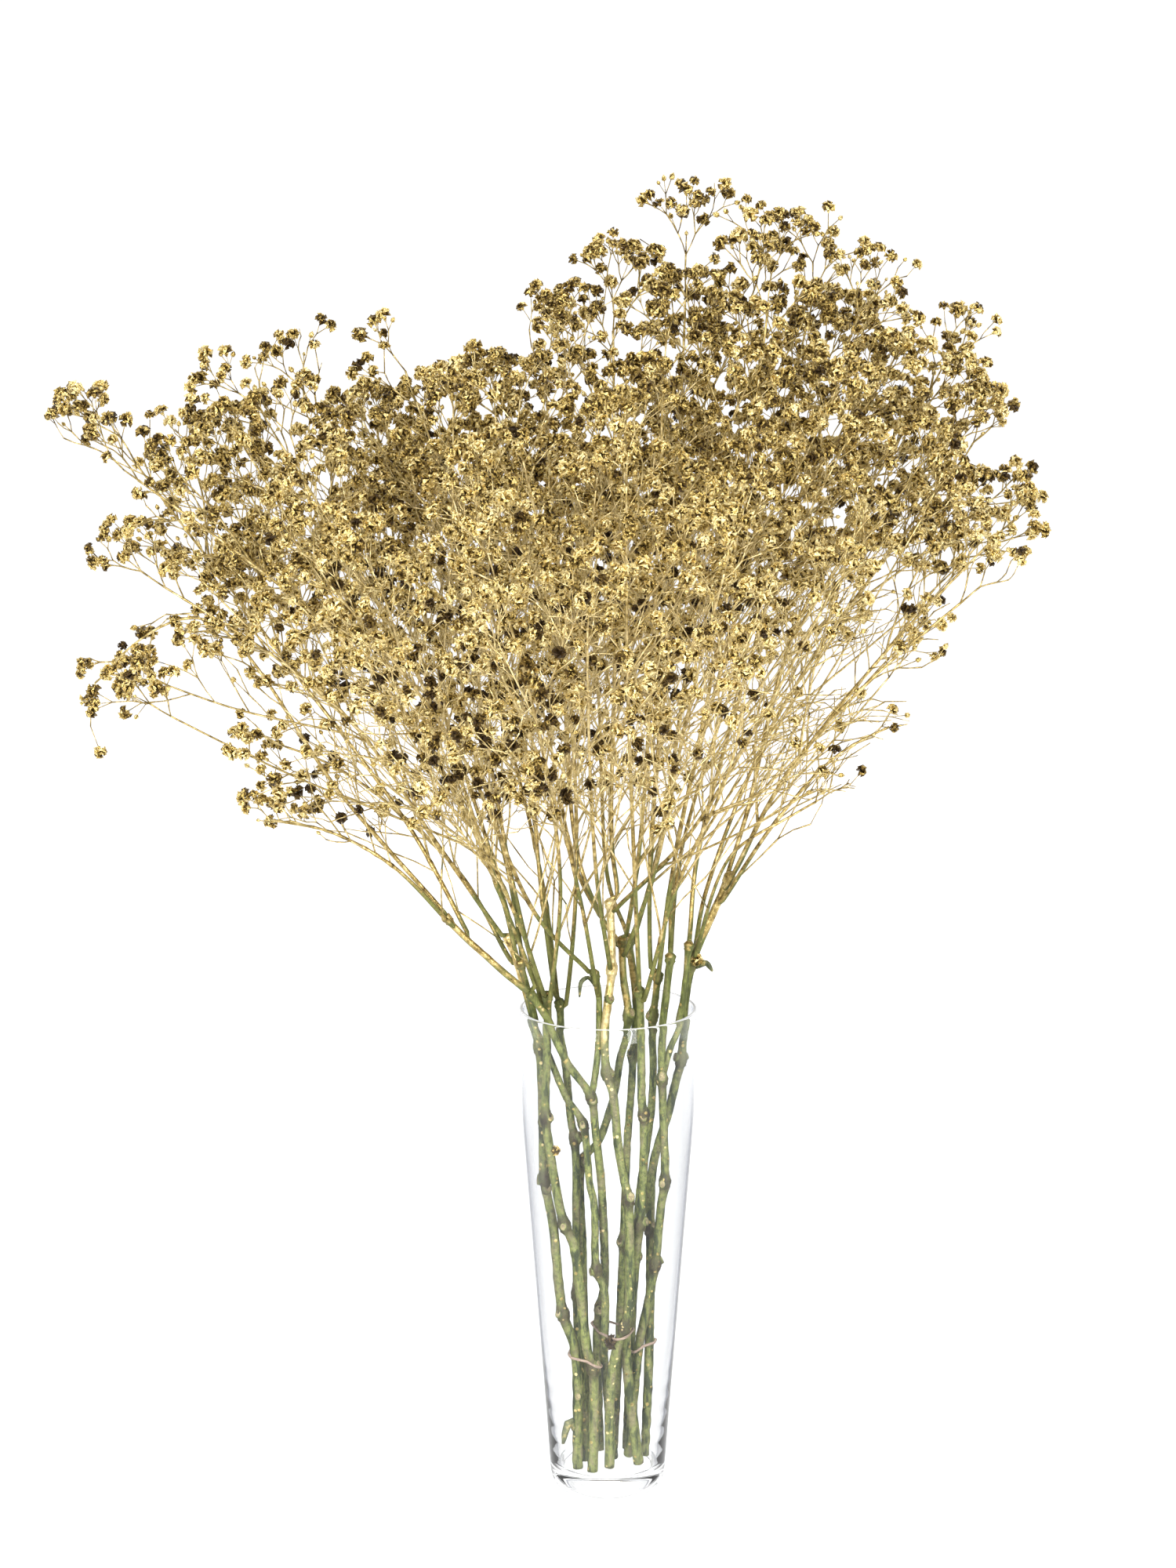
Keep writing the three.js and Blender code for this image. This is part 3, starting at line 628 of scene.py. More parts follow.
bmesh.ops.spin(bm, geom=bm.verts[:] + bm.edges[:], cent=(0, 0, 0), axis=(0, 0, 1), dvec=(0, 0, 0),
               angle=2 * math.pi, steps=VASE_SIDES, use_merge=True, use_duplicate=False)
bmesh.ops.remove_doubles(bm, verts=bm.verts, dist=1e-6)
bmesh.ops.recalc_face_normals(bm, faces=bm.faces)
make_smooth(bm.faces)
# The faces on top of the bead take the whiter glass: a painted highlight.
for face in bm.faces:
    face.material_index = 1 if face.calc_center_median().z > VASE_HEIGHT - RIM_HIGHLIGHT_DEPTH else 0
vase, loose = add_piece("vase_glass", bm, "vase", [vase_glass, rim_highlight_glass])
print("vase:", len(vase.data.polygons), "faces,", loose, "open edges")

# %% [markdown]
# ## Florets and buds
# A double floret is a pompom of crumpled petals that stands on a smooth bell, the calyx. There
# are thousands, so each has only a few dozen faces. A ball would look like a pebble, however it
# is dented. Here every petal is a flat three-sided cone with its point in the heart of the
# floret, so that there are real pits between the petals and the ends catch the light, each in
# its own direction. Six florets, each crumpled anew, are enough variety once every copy is
# turned and scaled at random.

# %% Shapes of florets
PETALS, PETAL_WIDTH, PETAL_FLATNESS = 13, 0.74, 0.5
PETAL_LENGTHS, PAINT_ON_TIPS, PAINT_ON_CALYX = (0.78, 1.22), (0.35, 1.35), 0.85
LOWEST_PETAL = -0.5
HEART = Vector((0, 0, -0.12))
GOLDEN_ANGLE = 2.39996
OPENNESS = (1.0, 1.05, 0.95, 1.0, 0.85, 0.72)


def pointing(direction):
    """The turn that brings the upright axis to a direction."""
    return direction.to_track_quat("Z", "Y").to_matrix().to_4x4()


def floret_shape(number, openness):
    """A floret one unit in radius, its stalk end at z = -1."""
    rng = random.Random(100 + number)
    bm = bmesh.new()
    depth = bm.verts.layers.float.new("depth")
    bm.verts.layers.float.new("tone")
    for petal in range(PETALS):
        rise = 1 - (1 - LOWEST_PETAL) * (petal + 0.5) / PETALS * openness
        azimuth = GOLDEN_ANGLE * petal + rng.uniform(-0.25, 0.25)
        flat = math.sqrt(max(0, 1 - rise * rise))
        tilted = rise + rng.uniform(-0.1, 0.1)
        axis = Vector((flat * math.cos(azimuth), flat * math.sin(azimuth), tilted)).normalized()
        length = rng.uniform(*PETAL_LENGTHS)
        turn = pointing(axis) @ Matrix.Rotation(rng.uniform(0, math.tau), 4, "Z")
        shape = Matrix.Diagonal((1, PETAL_FLATNESS * rng.uniform(0.7, 1.3), 1, 1))
        place = Matrix.Translation(HEART + axis * length / 2) @ turn @ shape
        made = bmesh.ops.create_cone(bm, cap_ends=True, segments=3, radius1=0.0, radius2=PETAL_WIDTH,
                                     depth=length, matrix=place)["verts"]
        paint_on_tip = rng.uniform(*PAINT_ON_TIPS)
        for vert in made:
            # Points at the heart get 0 and turn dark brown: bare of paint, and also a painted shade of the
            # pits.
            vert[depth] = 0.0 if (vert.co - HEART).length < 0.4 else paint_on_tip
    made = bmesh.ops.create_cone(bm, cap_ends=True, segments=4, radius1=0.14, radius2=0.5, depth=0.75,
                                 matrix=Matrix.Translation((0, 0, -0.65)))["verts"]
    for vert in made:
        vert[depth] = PAINT_ON_CALYX
    bmesh.ops.remove_doubles(bm, verts=bm.verts, dist=1e-5)
    bmesh.ops.triangulate(bm, faces=bm.faces)
    for face in bm.faces:
        face.material_index = 1
    return mesh_from(bm, f"floret_{number}")


florets = [floret_shape(number, openness) for number, openness in enumerate(OPENNESS)]
print("floret:", len(florets[0].polygons), "faces")


# %% [markdown]
# A bud is a small closed ball with a pointed tip. An icosphere of twenty faces, shaded smooth,
# is round enough at three millimetres.

# %% Shape of a bud
PAINT_ON_BUD, BUD_STRETCH, BUD_TIP = 0.75, 1.1, 1.55


def bud_shape():
    bm = bmesh.new()
    depth = bm.verts.layers.float.new("depth")
    bm.verts.layers.float.new("tone")
    bmesh.ops.create_icosphere(bm, subdivisions=1, radius=1)
    top = max(bm.verts, key=lambda vert: vert.co.z)
    for vert in bm.verts:
        vert[depth] = PAINT_ON_BUD
        vert.co.z *= BUD_STRETCH
    top.co.z = BUD_TIP
    make_smooth(bm.faces)
    for face in bm.faces:
        face.material_index = 1
    return mesh_from(bm, "bud")


def plant(bm, shape, matrix, tone_layer, tone):
    """Puts a floret or bud into a bmesh, with its tone. Returns its faces."""
    first, first_face = len(bm.verts), len(bm.faces)
    bm.from_mesh(shape, face_normals=False, vertex_normals=False)
    bm.verts.ensure_lookup_table()
    fresh = bm.verts[first:]
    bmesh.ops.transform(bm, matrix=matrix, verts=fresh)
    for vert in fresh:
        vert[tone_layer] = tone
    bm.faces.ensure_lookup_table()
    return bm.faces[first_face:]


bud = bud_shape()
print("bud:", len(bud.polygons), "faces")

# %% [markdown]
# ## The canes
# A gypsophila cane is a slim rod that swells where leaves and side shoots grew. The tables give
# each cane's points, its radii at foot and top and the heights of its joints, as in the frame,
# and the scars: the height of each cut shoot and the direction it faced, in degrees from +X.

# %% Canes
CANES = {
    "stem_01": dict(
        paint_and_light=0.35,
        radii=(3.2, 2.3),
        route=[(-18, -12, 13.6), (-20, -14, 91), (-27, -14, 113), (-33, -13, 170), (-38, -11, 197),
               (-39, -11, 235), (-41, -10, 278), (-45, -8, 297), (-53, -5, 325), (-60, 0, 345)],
        nodes=[113, 197, 278, 343],
        scars=[(60, -85), (112, 235), (196, 190), (190, -60), (277, 20), (232, -80)]),
    "stem_02": dict(
        tufts=[(217, -20, 0.45, 2.8)],
        radii=(3.2, 2.3),
        route=[(-9, -17, 13.6), (-9, -19, 80), (-12, -20, 90), (-21, -21, 160), (-26, -21, 171),
               (-35, -21, 220), (-37, -21, 238), (-36, -23, 281), (-36, -25, 316)],
        nodes=[80, 171, 238, 314], scars=[(82, -30), (170, -100), (237, -30)]),
    "stem_03": dict(
        radii=(2.9, 2.2),
        route=[(-5, 14, 13.6), (-6, 8, 98), (-2, 5, 125), (-3, -5, 173), (-4, -9, 193), (-8, -16, 233),
               (-10, -18, 249), (-25, -26, 274), (-35, -30, 299), (-47, -33, 318)],
        nodes=[110, 249, 317], scars=[(108, -95), (247, -75)],
        limbs={
            "stem_03_up": dict(
                radii=(2, 1.8), nodes=[326], scars=[],
                route=[(-10, -18, 249), (-8, -19, 261), (-6, -20, 280), (-6, -20, 317), (-9, -20, 328)]),
            "stem_03_left": dict(
                radii=(2, 1.8), nodes=[362], scars=[],
                route=[(-47, -33, 318), (-55, -33, 324), (-74, -32, 341), (-88, -31, 354), (-97, -30, 364)])}),
    "stem_04": dict(
        radii=(2.6, 1.9),
        route=[(4, 3, 13.6), (-2, -6, 79), (-2, -11, 125), (-7, -12, 141), (-8, -12, 179),
               (-11, -12, 194), (-15, -12, 231), (-25, -13, 248), (-34, -15, 271), (-42, -18, 292),
               (-47, -18, 312), (-53, -17, 334)],
        nodes=[140, 231, 332], scars=[(139, 200), (230, -90)]),
    "stem_05": dict(
        radii=(2.8, 2.2),
        route=[(-14, 0, 13.6), (-18, 2, 95), (-19, 2, 143), (-19, 1, 165), (-19, -1, 191),
               (-20, -2, 219), (-22, -2, 229), (-25, -2, 261), (-28, -3, 285), (-29, -3, 306)],
        nodes=[120, 219, 304], scars=[(121, -60), (219, -20)]),
    "stem_06": dict(
        paint_and_light=0.9, tufts=[(96, 190, 0.0, 4.2)],
        radii=(3.1, 2.3),
        route=[(1, -12, 13.6), (2, -16, 71), (6, -19, 95), (12, -21, 113), (13, -21, 131),
               (12, -21, 187), (10, -21, 197), (6, -21, 220), (3, -21, 252), (-1, -21, 266),
               (-2, -22, 290), (0, -21, 310), (2, -18, 327), (1, -14, 370)],
        nodes=[107, 187, 265, 328, 368], scars=[(188, -60), (264, -10), (310, -60)]),
    "stem_07": dict(
        radii=(2.6, 2.2),
        route=[(-12, 13, 13.6), (-15, 12, 142), (-15, 9, 202), (-6, 7, 214), (0, 4, 231),
               (4, 0, 247), (7, -4, 268), (10, -7, 283), (12, -9, 297), (9, -8, 321), (8, -6, 345)],
        nodes=[202, 297, 343], scars=[(201, -70), (298, -50)]),
    "stem_08": dict(
        radii=(2.7, 2.1),
        route=[(4, 17, 13.6), (9, 13, 134), (11, 10, 195), (12, 9, 218), (14, 11, 244),
               (15, 13, 262), (15, 14, 271), (17, 16, 293), (15, 18, 317), (12, 20, 340)],
        nodes=[150, 268, 338], scars=[(149, -130), (266, -120)]),
    "stem_09": dict(
        radii=(3.3, 2.2),
        route=[(19, -6, 13.6), (13, -9, 64), (11, -9, 95), (15, -10, 127), (18, -13, 160),
               (20, -17, 177), (21, -26, 241), (20, -28, 248), (19, -34, 301), (18, -37, 322)],
        nodes=[170, 241, 320], scars=[(171, -30), (239, -92)]),
    "stem_10": dict(
        radii=(2.7, 2.1),
        route=[(12, 17, 13.6), (16, 13, 123), (19, 9, 178), (24, 3, 218), (26, 0, 237), (27, -4, 266),
               (26, -6, 287), (27, -8, 298), (30, -8, 324)],
        nodes=[140, 297, 322], scars=[(141, -50), (296, 210)]),
    "stem_11": dict(
        radii=(2.9, 2.2),
        route=[(13, 6, 13.6), (18, 2, 76), (20, 0, 94), (24, -2, 113), (28, -4, 136),
               (29, -5, 144), (32, -8, 179), (34, -11, 195), (33, -13, 232), (32, -16, 260),
               (32, -18, 290), (34, -19, 309), (37, -19, 338)],
        nodes=[141, 195, 260, 336], scars=[(142, 20), (194, -110), (261, -92)],
        limbs={
            "stem_11_right": dict(
                radii=(2, 1.8), nodes=[342], scars=[],
                route=[(32, -16, 260), (37, -14, 279), (42, -13, 295), (45, -13, 312), (48, -14, 344)])}),
    "stem_12": dict(
        tufts=[(331, -60, 0.7, 3.6)],
        radii=(3, 2.3),
        route=[(24, 8, 13.6), (26, 6, 120), (26, 6, 178), (27, 6, 197), (30, 5, 212),
               (36, 4, 232), (41, 3, 254), (44, 2, 267), (45, 0, 290), (46, -1, 304), (49, -2, 323),
               (52, -3, 334), (62, -4, 358), (73, -6, 384)],
        nodes=[160, 267, 329, 381], scars=[(161, -60), (268, 30), (268, 200), (330, 10)]),
}

# %% [markdown]
# ### One cane
# A joint is a soft swelling with a sharp lip under it, where the leaves were. The radius along
# the cane is a sum of these shapes, and the rod is drawn with rings close together at the joints
# and far apart between them. Small noise on the surface keeps it from looking turned on a lathe.

# %% The cane's line and thickness
NODE_SWELL, NODE_REACH = 1.3 * MM, 5 * MM
LIP_SWELL, LIP_REACH, LIP_BELOW = 0.5 * MM, 0.7 * MM, 3.2 * MM
NEAR_A_JOINT, RINGS_AT_JOINT, RINGS_BETWEEN = 7 * MM, 0.8 * MM, 4 * MM
carriers = {}


class Cane:
    """The middle line of a cane or limb, and its radius at each share of the line."""

    def __init__(self, radii, route, nodes, scars, limbs=None, paint_and_light=0.0, tufts=()):
        self.line = Line(millimetres(route))
        self.radii = [radius * MM for radius in radii]
        self.nodes = [self.line.share_at_height(height * MM) * self.line.length for height in nodes]
        self.scars = scars
        self.paint_and_light = paint_and_light
        self.tufts = tufts

    def radius(self, share):
        run = share * self.line.length
        radius = self.radii[0] + (self.radii[1] - self.radii[0]) * share
        for node in self.nodes:
            radius += NODE_SWELL * math.exp(-2 * ((run - node) / NODE_REACH) ** 2)
            radius += LIP_SWELL * math.exp(-((run - node + LIP_BELOW) / LIP_REACH) ** 2)
        return radius

    def shares(self):
        """Ring places: close together at a joint, further apart between joints."""
        run, places = 0.0, []
        while run < self.line.length - 1.5 * MM:
            places.append(run / self.line.length)
            near = min(abs(run - node) for node in self.nodes) < NEAR_A_JOINT
            run += RINGS_AT_JOINT if near else RINGS_BETWEEN
        return [*places, 1.0]


for name, cane in CANES.items():
    carriers[name] = Cane(**cane)
    for limb, shape in cane.get("limbs", {}).items():
        carriers[limb] = Cane(**shape)
print("canes and limbs:", len(carriers))


# %% [markdown]
# ### Scars, cut ends and rough bark
# A cut side shoot is a short stub with a flat oval face: a cone of twelve sides, its end inset
# for the rim of bark and pushed in a little for the wood. The stub's foot sits inside the cane.

# %% Stubs
ROUGHNESS_OF_BARK = 0.11 * MM
JOINT_REACH = 4 * MM
STUB_RADII, STUB_LENGTHS, STUB_OVAL = (1.9, 2.6), (0.2, 0.9), 1.25
TOP_TAPER = 0.55


def outwards_from(carrier, height, azimuth):
    """The middle of a cane at a height, and the direction square to the cane that faces the azimuth."""
    share = carrier.line.share_at_height(height * MM)
    along = carrier.line.along(share)
    facing = Vector((math.cos(math.radians(azimuth)), math.sin(math.radians(azimuth)), 0))
    return carrier.line.at(share), (facing - along * facing.dot(along)).normalized()


def add_stub(bm, carrier, height, azimuth, rng):
    centre, facing = outwards_from(carrier, height, azimuth)
    share = carrier.line.share_at_height(height * MM)
    along = carrier.line.along(share)
    out = (facing + along * rng.uniform(0.15, 0.6)).normalized()
    radius = rng.uniform(*STUB_RADII) * MM
    reach = carrier.radius(share) + rng.uniform(*STUB_LENGTHS) * MM
    place = Matrix.Translation(centre + out * reach / 2) @ pointing(out) @ Matrix.Diagonal((1, STUB_OVAL, 1, 1))
    made = bmesh.ops.create_cone(bm, cap_ends=True, segments=12, radius1=radius * 1.25, radius2=radius,
                                 depth=reach, matrix=place)
    faces = {face for vert in made["verts"] for face in vert.link_faces}
    make_smooth(faces)
    end = max(faces, key=lambda face: face.calc_center_median().dot(out))
    bmesh.ops.inset_region(bm, faces=[end], thickness=radius * 0.28, depth=0.0)
    end.material_index = 1
    bmesh.ops.inset_region(bm, faces=[end], thickness=radius * 0.2, depth=-0.25 * MM)
    end.smooth = False
    joint = bm.verts.layers.float["joint"]
    for vert in made["verts"]:
        vert[joint] = 0.9


def roughen(bm, rng, amount):
    for vert in bm.verts:
        vert.co += vert.normal * rng.gauss(0, amount)


def mark_joints(bm, parts):
    """Stores on every vertex how close it is to a joint, 1 at the joint and 0 a few millimetres off."""
    layer = bm.verts.layers.float.new("joint")
    paint_and_light = bm.verts.layers.float.new("paint_and_light")
    joints = []
    for carrier in [carriers[part] for part in parts]:
        for share in [run / carrier.line.length for run in carrier.nodes]:
            joints.append((carrier.line.at(share), carrier.radius(share)))
    for vert in bm.verts:
        nearest = min((vert.co - centre).length - radius for centre, radius in joints)
        vert[layer] = max(0.0, 1 - max(nearest, 0) / JOINT_REACH) ** 0.7
        vert[paint_and_light] = carriers[parts[0]].paint_and_light


def cane_solid(name, limbs, rng):
    """The rod of a cane with its limbs, roughened, with its cut foot and its stubs."""
    lines = []
    for part in (name, *limbs):
        carrier = carriers[part]
        shares = carrier.shares()
        tapers = [1.0] * (len(shares) - 1) + [TOP_TAPER]
        lines.append([(carrier.line.at(share), carrier.radius(share) * taper)
                      for share, taper in zip(shares, tapers)])
    bm = solid_from(rods(lines, 4))
    foot = min(bm.faces, key=lambda face: face.calc_center_median().z)
    foot.smooth = False
    foot.material_index = 1
    bmesh.ops.inset_region(bm, faces=[foot], thickness=0.5 * MM, depth=0.0)
    bm.normal_update()
    roughen(bm, rng, ROUGHNESS_OF_BARK)
    mark_joints(bm, (name, *limbs))
    for part in (name, *limbs):
        for height, azimuth in carriers[part].scars:
            add_stub(bm, carriers[part], height, azimuth, rng)
    bm.verts.layers.float.new("depth")
    tone_layer = bm.verts.layers.float.new("tone")
    for height, azimuth, tone, size in carriers[name].tufts:
        centre, out = outwards_from(carriers[name], height, azimuth)
        place = centre + out * (carriers[name].radius(0.5) + size * 0.35 * MM)
        matrix = Matrix.Translation(place) @ pointing(out) @ Matrix.Scale(size * MM, 4)
        for face in plant(bm, florets[0], matrix, tone_layer, tone):
            face.material_index = 2
    return bm


faces = 0
for name, cane in CANES.items():
    bm = cane_solid(name, cane.get("limbs", {}), random.Random(name))
    finishes = [cane_bark, cut_wood, floret_gold]
    piece, loose = add_piece(name.replace("stem", "cane"), bm, name, finishes)
    faces += len(piece.data.polygons)
    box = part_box(name)
    print(piece.name, "open edges", loose, "top off the frame by",
          round((max(vert.co.z for vert in piece.data.vertices) - box[1].z) / MM, 2), "mm")
print("canes:", faces, "faces")

# %% [markdown]
# ## The bands
# A band lies tight round its canes: in every direction it touches the cane that reaches out
# furthest. The line is found so, and a closed curve with a round bevel makes the band.

# %% Bands
BANDS = {
    "band_left": dict(around=("stem_01", "stem_02", "stem_05"), height=84, rise=-3),
    "band_middle": dict(around=("stem_03", "stem_04", "stem_06", "stem_09"), height=100, rise=1),
    "band_right": dict(around=("stem_08", "stem_10", "stem_11", "stem_12"), height=86, rise=3),
}
BAND_RADIUS, BAND_GAP, BAND_STEPS = 0.8 * MM, 0.25 * MM, 96


def band_points(around, height, rise):
    for step in range(BAND_STEPS):
        angle = math.tau * step / BAND_STEPS
        direction = Vector((math.cos(angle), math.sin(angle), 0))
        z = (height + rise * direction.x) * MM
        touching = []
        for name in around:
            carrier = carriers[name]
            share = carrier.line.share_at_height(z)
            touching.append((carrier.line.at(share), carrier.radius(share)))
        centre, radius = max(touching, key=lambda pair: pair[0].dot(direction) + pair[1])
        thickness = BAND_RADIUS * (1 + 0.12 * math.sin(5 * angle))
        yield centre + direction * (radius + BAND_GAP + BAND_RADIUS), thickness


for name, shape in BANDS.items():
    bm = solid_from(rods([list(band_points(**shape))], 2, cyclic=True))
    piece, loose = add_piece(name.replace("band", "rubber_band"), bm, name, [band_rubber])
    print(piece.name, len(piece.data.polygons), "faces,", loose, "open edges")

# %% [markdown]
# ## Where a shoot leaves its cane
# Every spray and leaf starts on a cane at a given height and heads for its first point. It
# leaves the bark at about 45 degrees, half outwards and half up the cane. The line begins in the
# middle of the cane, so that the two grow into each other without a gap.


# %% Seats
def seat_on(on, at, target):
    carrier = carriers[on]
    share = carrier.line.share_at_height(at * MM)
    centre, along = carrier.line.at(share), carrier.line.along(share)
    towards = target - centre
    outwards = (towards - along * towards.dot(along)).normalized()
    leaving = (outwards + along).normalized()
    return centre, centre + outwards * carrier.radius(share), leaving


# %% [markdown]
# ## The leaves
# Only three leaves are left: one curled like a hook above the rim, a bract at a joint, and one
# withered by the cut ends. Each is a strip of grid, laid along its rib, folded a little in the
# middle and given its thickness by solidify.

# %% Leaves
LEAVES = {
    "leaf_curled": dict(
        on="stem_03_up", at=318, width=2.4, path=[(-12, -24, 324), (-16, -26, 322), (-17, -27, 313)]),
    "bract_right": dict(on="stem_12", at=326, width=3.6, path=[(58, -9, 329), (62, -12, 325)]),
    "leaf_low_left": dict(
        on="stem_01", at=38, width=4.2, path=[(-23, -17, 46), (-25, -19, 40), (-26, -19, 32)]),
}
LEAF_ROWS, LEAF_FOLD, LEAF_THICKNESS = 14, 0.45, 0.35 * MM

for name, leaf in LEAVES.items():
    rib = millimetres(leaf["path"])
    _, seat, _ = seat_on(leaf["on"], leaf["at"], rib[0])
    line = Line([seat, *rib])
    bm = bmesh.new()
    bmesh.ops.create_grid(bm, x_segments=4, y_segments=LEAF_ROWS, size=0.5)
    for vert in bm.verts:
        across, share = vert.co.x * 2, vert.co.y + 0.5
        along = line.along(share)
        side = along.cross(Vector((0.25, 1, 0.1))).normalized()
        half = leaf["width"] / 2 * MM * (math.sin(math.pi * (0.1 + 0.84 * share)) ** 0.8)
        fold = side.cross(along) * abs(across) * half * LEAF_FOLD
        vert.co = line.at(share) + side * across * half + fold
    bmesh.ops.recalc_face_normals(bm, faces=bm.faces)
    bmesh.ops.solidify(bm, geom=bm.faces[:], thickness=LEAF_THICKNESS)
    bmesh.ops.recalc_face_normals(bm, faces=bm.faces)
    make_smooth(bm.faces)
    piece, loose = add_piece("dry_" + name, bm, name, [dry_leaf])
    print(piece.name, len(piece.data.polygons), "faces,", loose, "open edges")

# %% [markdown]
# ## The outline of the crown
# The crown of the bunch is not a ball: it has lobes and bays, as the sprays of one plant fan out
# and leave room between them. An outline, set point by point by eye as the bunch is seen from the
# front, steers the twigs: a twig that would grow into a bay tries another direction round its
# branch. A list of loose places thins the heads out where the crown lets the light through.

# %% Outline
OUTLINE = [
    (-149, 400), (-175, 407), (-191, 403), (-207, 411), (-219, 424), (-220, 443), (-226, 457), (-222, 474),
    (-210, 484), (-197, 486), (-181, 481), (-177, 489), (-201, 493), (-221, 496), (-233, 511), (-242, 515),
    (-259, 489), (-271, 483), (-278, 456), (-290, 449), (-303, 456), (-310, 485), (-313, 506), (-307, 524),
    (-281, 532), (-246, 539), (-238, 548), (-253, 559), (-271, 569), (-295, 562), (-308, 574), (-311, 583),
    (-287, 600), (-270, 594), (-257, 597), (-276, 610), (-272, 622), (-279, 633), (-295, 630), (-305, 640),
    (-315, 647), (-330, 655), (-319, 668), (-313, 678), (-301, 678), (-285, 674), (-275, 676), (-264, 685),
    (-250, 692), (-233, 692), (-224, 700), (-214, 692), (-205, 696), (-200, 711), (-192, 709), (-188, 696),
    (-181, 706), (-168, 708), (-164, 726), (-152, 721), (-139, 715), (-133, 725), (-124, 724), (-116, 715),
    (-107, 710), (-102, 697), (-90, 684), (-80, 696), (-71, 693), (-61, 696), (-47, 686), (-40, 690),
    (-47, 701), (-44, 713), (-55, 719), (-49, 725), (-39, 734), (-26, 741), (-17, 753), (-8, 764),
    (4, 763), (11, 765), (25, 752), (35, 746), (39, 735), (48, 740), (59, 738), (59, 758),
    (42, 758), (31, 770), (9, 767), (10, 777), (17, 787), (31, 799), (44, 802), (59, 801),
    (69, 792), (85, 788), (94, 793), (106, 791), (119, 784), (136, 774), (133, 762), (127, 755),
    (142, 753), (151, 760), (166, 752), (177, 744), (181, 725), (194, 721), (213, 720), (225, 713),
    (233, 690), (242, 682), (239, 666), (231, 648), (216, 643), (211, 627), (222, 623), (234, 628),
    (245, 626), (256, 612), (255, 581), (248, 567), (213, 563), (167, 567), (152, 562), (162, 552),
    (182, 549), (205, 543), (207, 531), (191, 508), (158, 512), (131, 520), (103, 514), (87, 507),
    (96, 496), (149, 496), (192, 482), (190, 468), (156, 452), (147, 430), (104, 430), (92, 457),
    (74, 462), (60, 436), (43, 433), (40, 406), (28, 407), (23, 434), (2, 430), (-35, 416),
    (-63, 407), (-100, 416), (-128, 407),
]


def seen_from_front(point):
    """Where a point shows on the upright plane through the vase, in millimetres."""
    eye = camera.location
    share = -eye.y / (point.y - eye.y)
    return (eye.x + (point.x - eye.x) * share) / MM, (eye.z + (point.z - eye.z) * share) / MM


# (x, z, half width, half height, share kept): parts of the crown where few heads grow
LOOSE = [
    (-235, 615, 75, 40, 0.4), (150, 530, 80, 30, 0.3), (125, 465, 90, 40, 0.15), (30, 455, 70, 30, 0.4),
    (165, 500, 70, 45, 0.25), (190, 548, 80, 30, 0.3), (20, 425, 60, 28, 0.5), (-110, 412, 90, 22, 0.5),
    (-235, 530, 50, 40, 0.6), (110, 505, 60, 30, 0.4), (-160, 455, 50, 35, 0.5), (205, 618, 60, 52, 0.72),
]
KEPT_MOSTLY, KEPT_AT_TOP, TOP_ABOVE, TOP_RIGHT_OF = 0.92, 1.0, 690, -60
DEPTH_SPARE = 10 * MM


def kept_share(point):
    """How many of the heads that could grow here do grow: none further out than the frame is deep."""
    if not cad_box[0].y - DEPTH_SPARE < point.y < cad_box[1].y + DEPTH_SPARE:
        return 0
    x, z = seen_from_front(point)
    share = KEPT_AT_TOP if z > TOP_ABOVE and x > TOP_RIGHT_OF else KEPT_MOSTLY
    for middle, height, wide, high, kept in LOOSE:
        if ((x - middle) / wide) ** 2 + ((z - height) / high) ** 2 < 1:
            share = min(share, kept)
    return share


def in_outline(point):
    x, z = seen_from_front(point)
    inside = False
    for (x1, z1), (x2, z2) in zip(OUTLINE, OUTLINE[1:] + OUTLINE[:1]):
        if (z1 > z) != (z2 > z) and x < x1 + (z - z1) / (z2 - z1) * (x2 - x1):
            inside = not inside
    return inside


print("outline of", len(OUTLINE), "points; its middle is inside:", in_outline(Vector((0, 0, 0.55))))

# %% [markdown]
# ## Forking twigs
# Gypsophila forks by twos: a twig often ends in a floret, and below it two new twigs leave to the
# left and right, in a plane turned by a right angle from the fork before. After one to four forks
# the last twigs are stalks of a few millimetres with a floret or a bud. A function that calls
# itself for both halves of a fork grows exactly this pattern.

# %% Twigs
FORK_ANGLE = math.radians(29)
SHORTER = 0.8
THINNER = 0.85
BARE_AT_TOP, BARE_LOW_DOWN, BARE_BELOW, BARE_WITHIN = 0.03, 0.55, 0.62, 0.2
TURN_UP, STALK_IN_FORK = 0.10, 0.55
SEED = 15  # another number grows another bunch


def bent(direction, rng, amount):
    return (direction + Vector((rng.gauss(0, amount), rng.gauss(0, amount), rng.gauss(0, amount)))).normalized()


def faded(distance, reach):
    """0 for no distance or less, 1 from the reach on, and even in between."""
    return min(max(distance / reach, 0), 1)


def bare_share(point):
    """How many stalks have lost their head: few at the top, many low down, where they are shaded."""
    low = faded(BARE_BELOW - point.z, 0.12) * faded(BARE_WITHIN - abs(point.x), 0.05)
    return BARE_AT_TOP + (BARE_LOW_DOWN - BARE_AT_TOP) * low


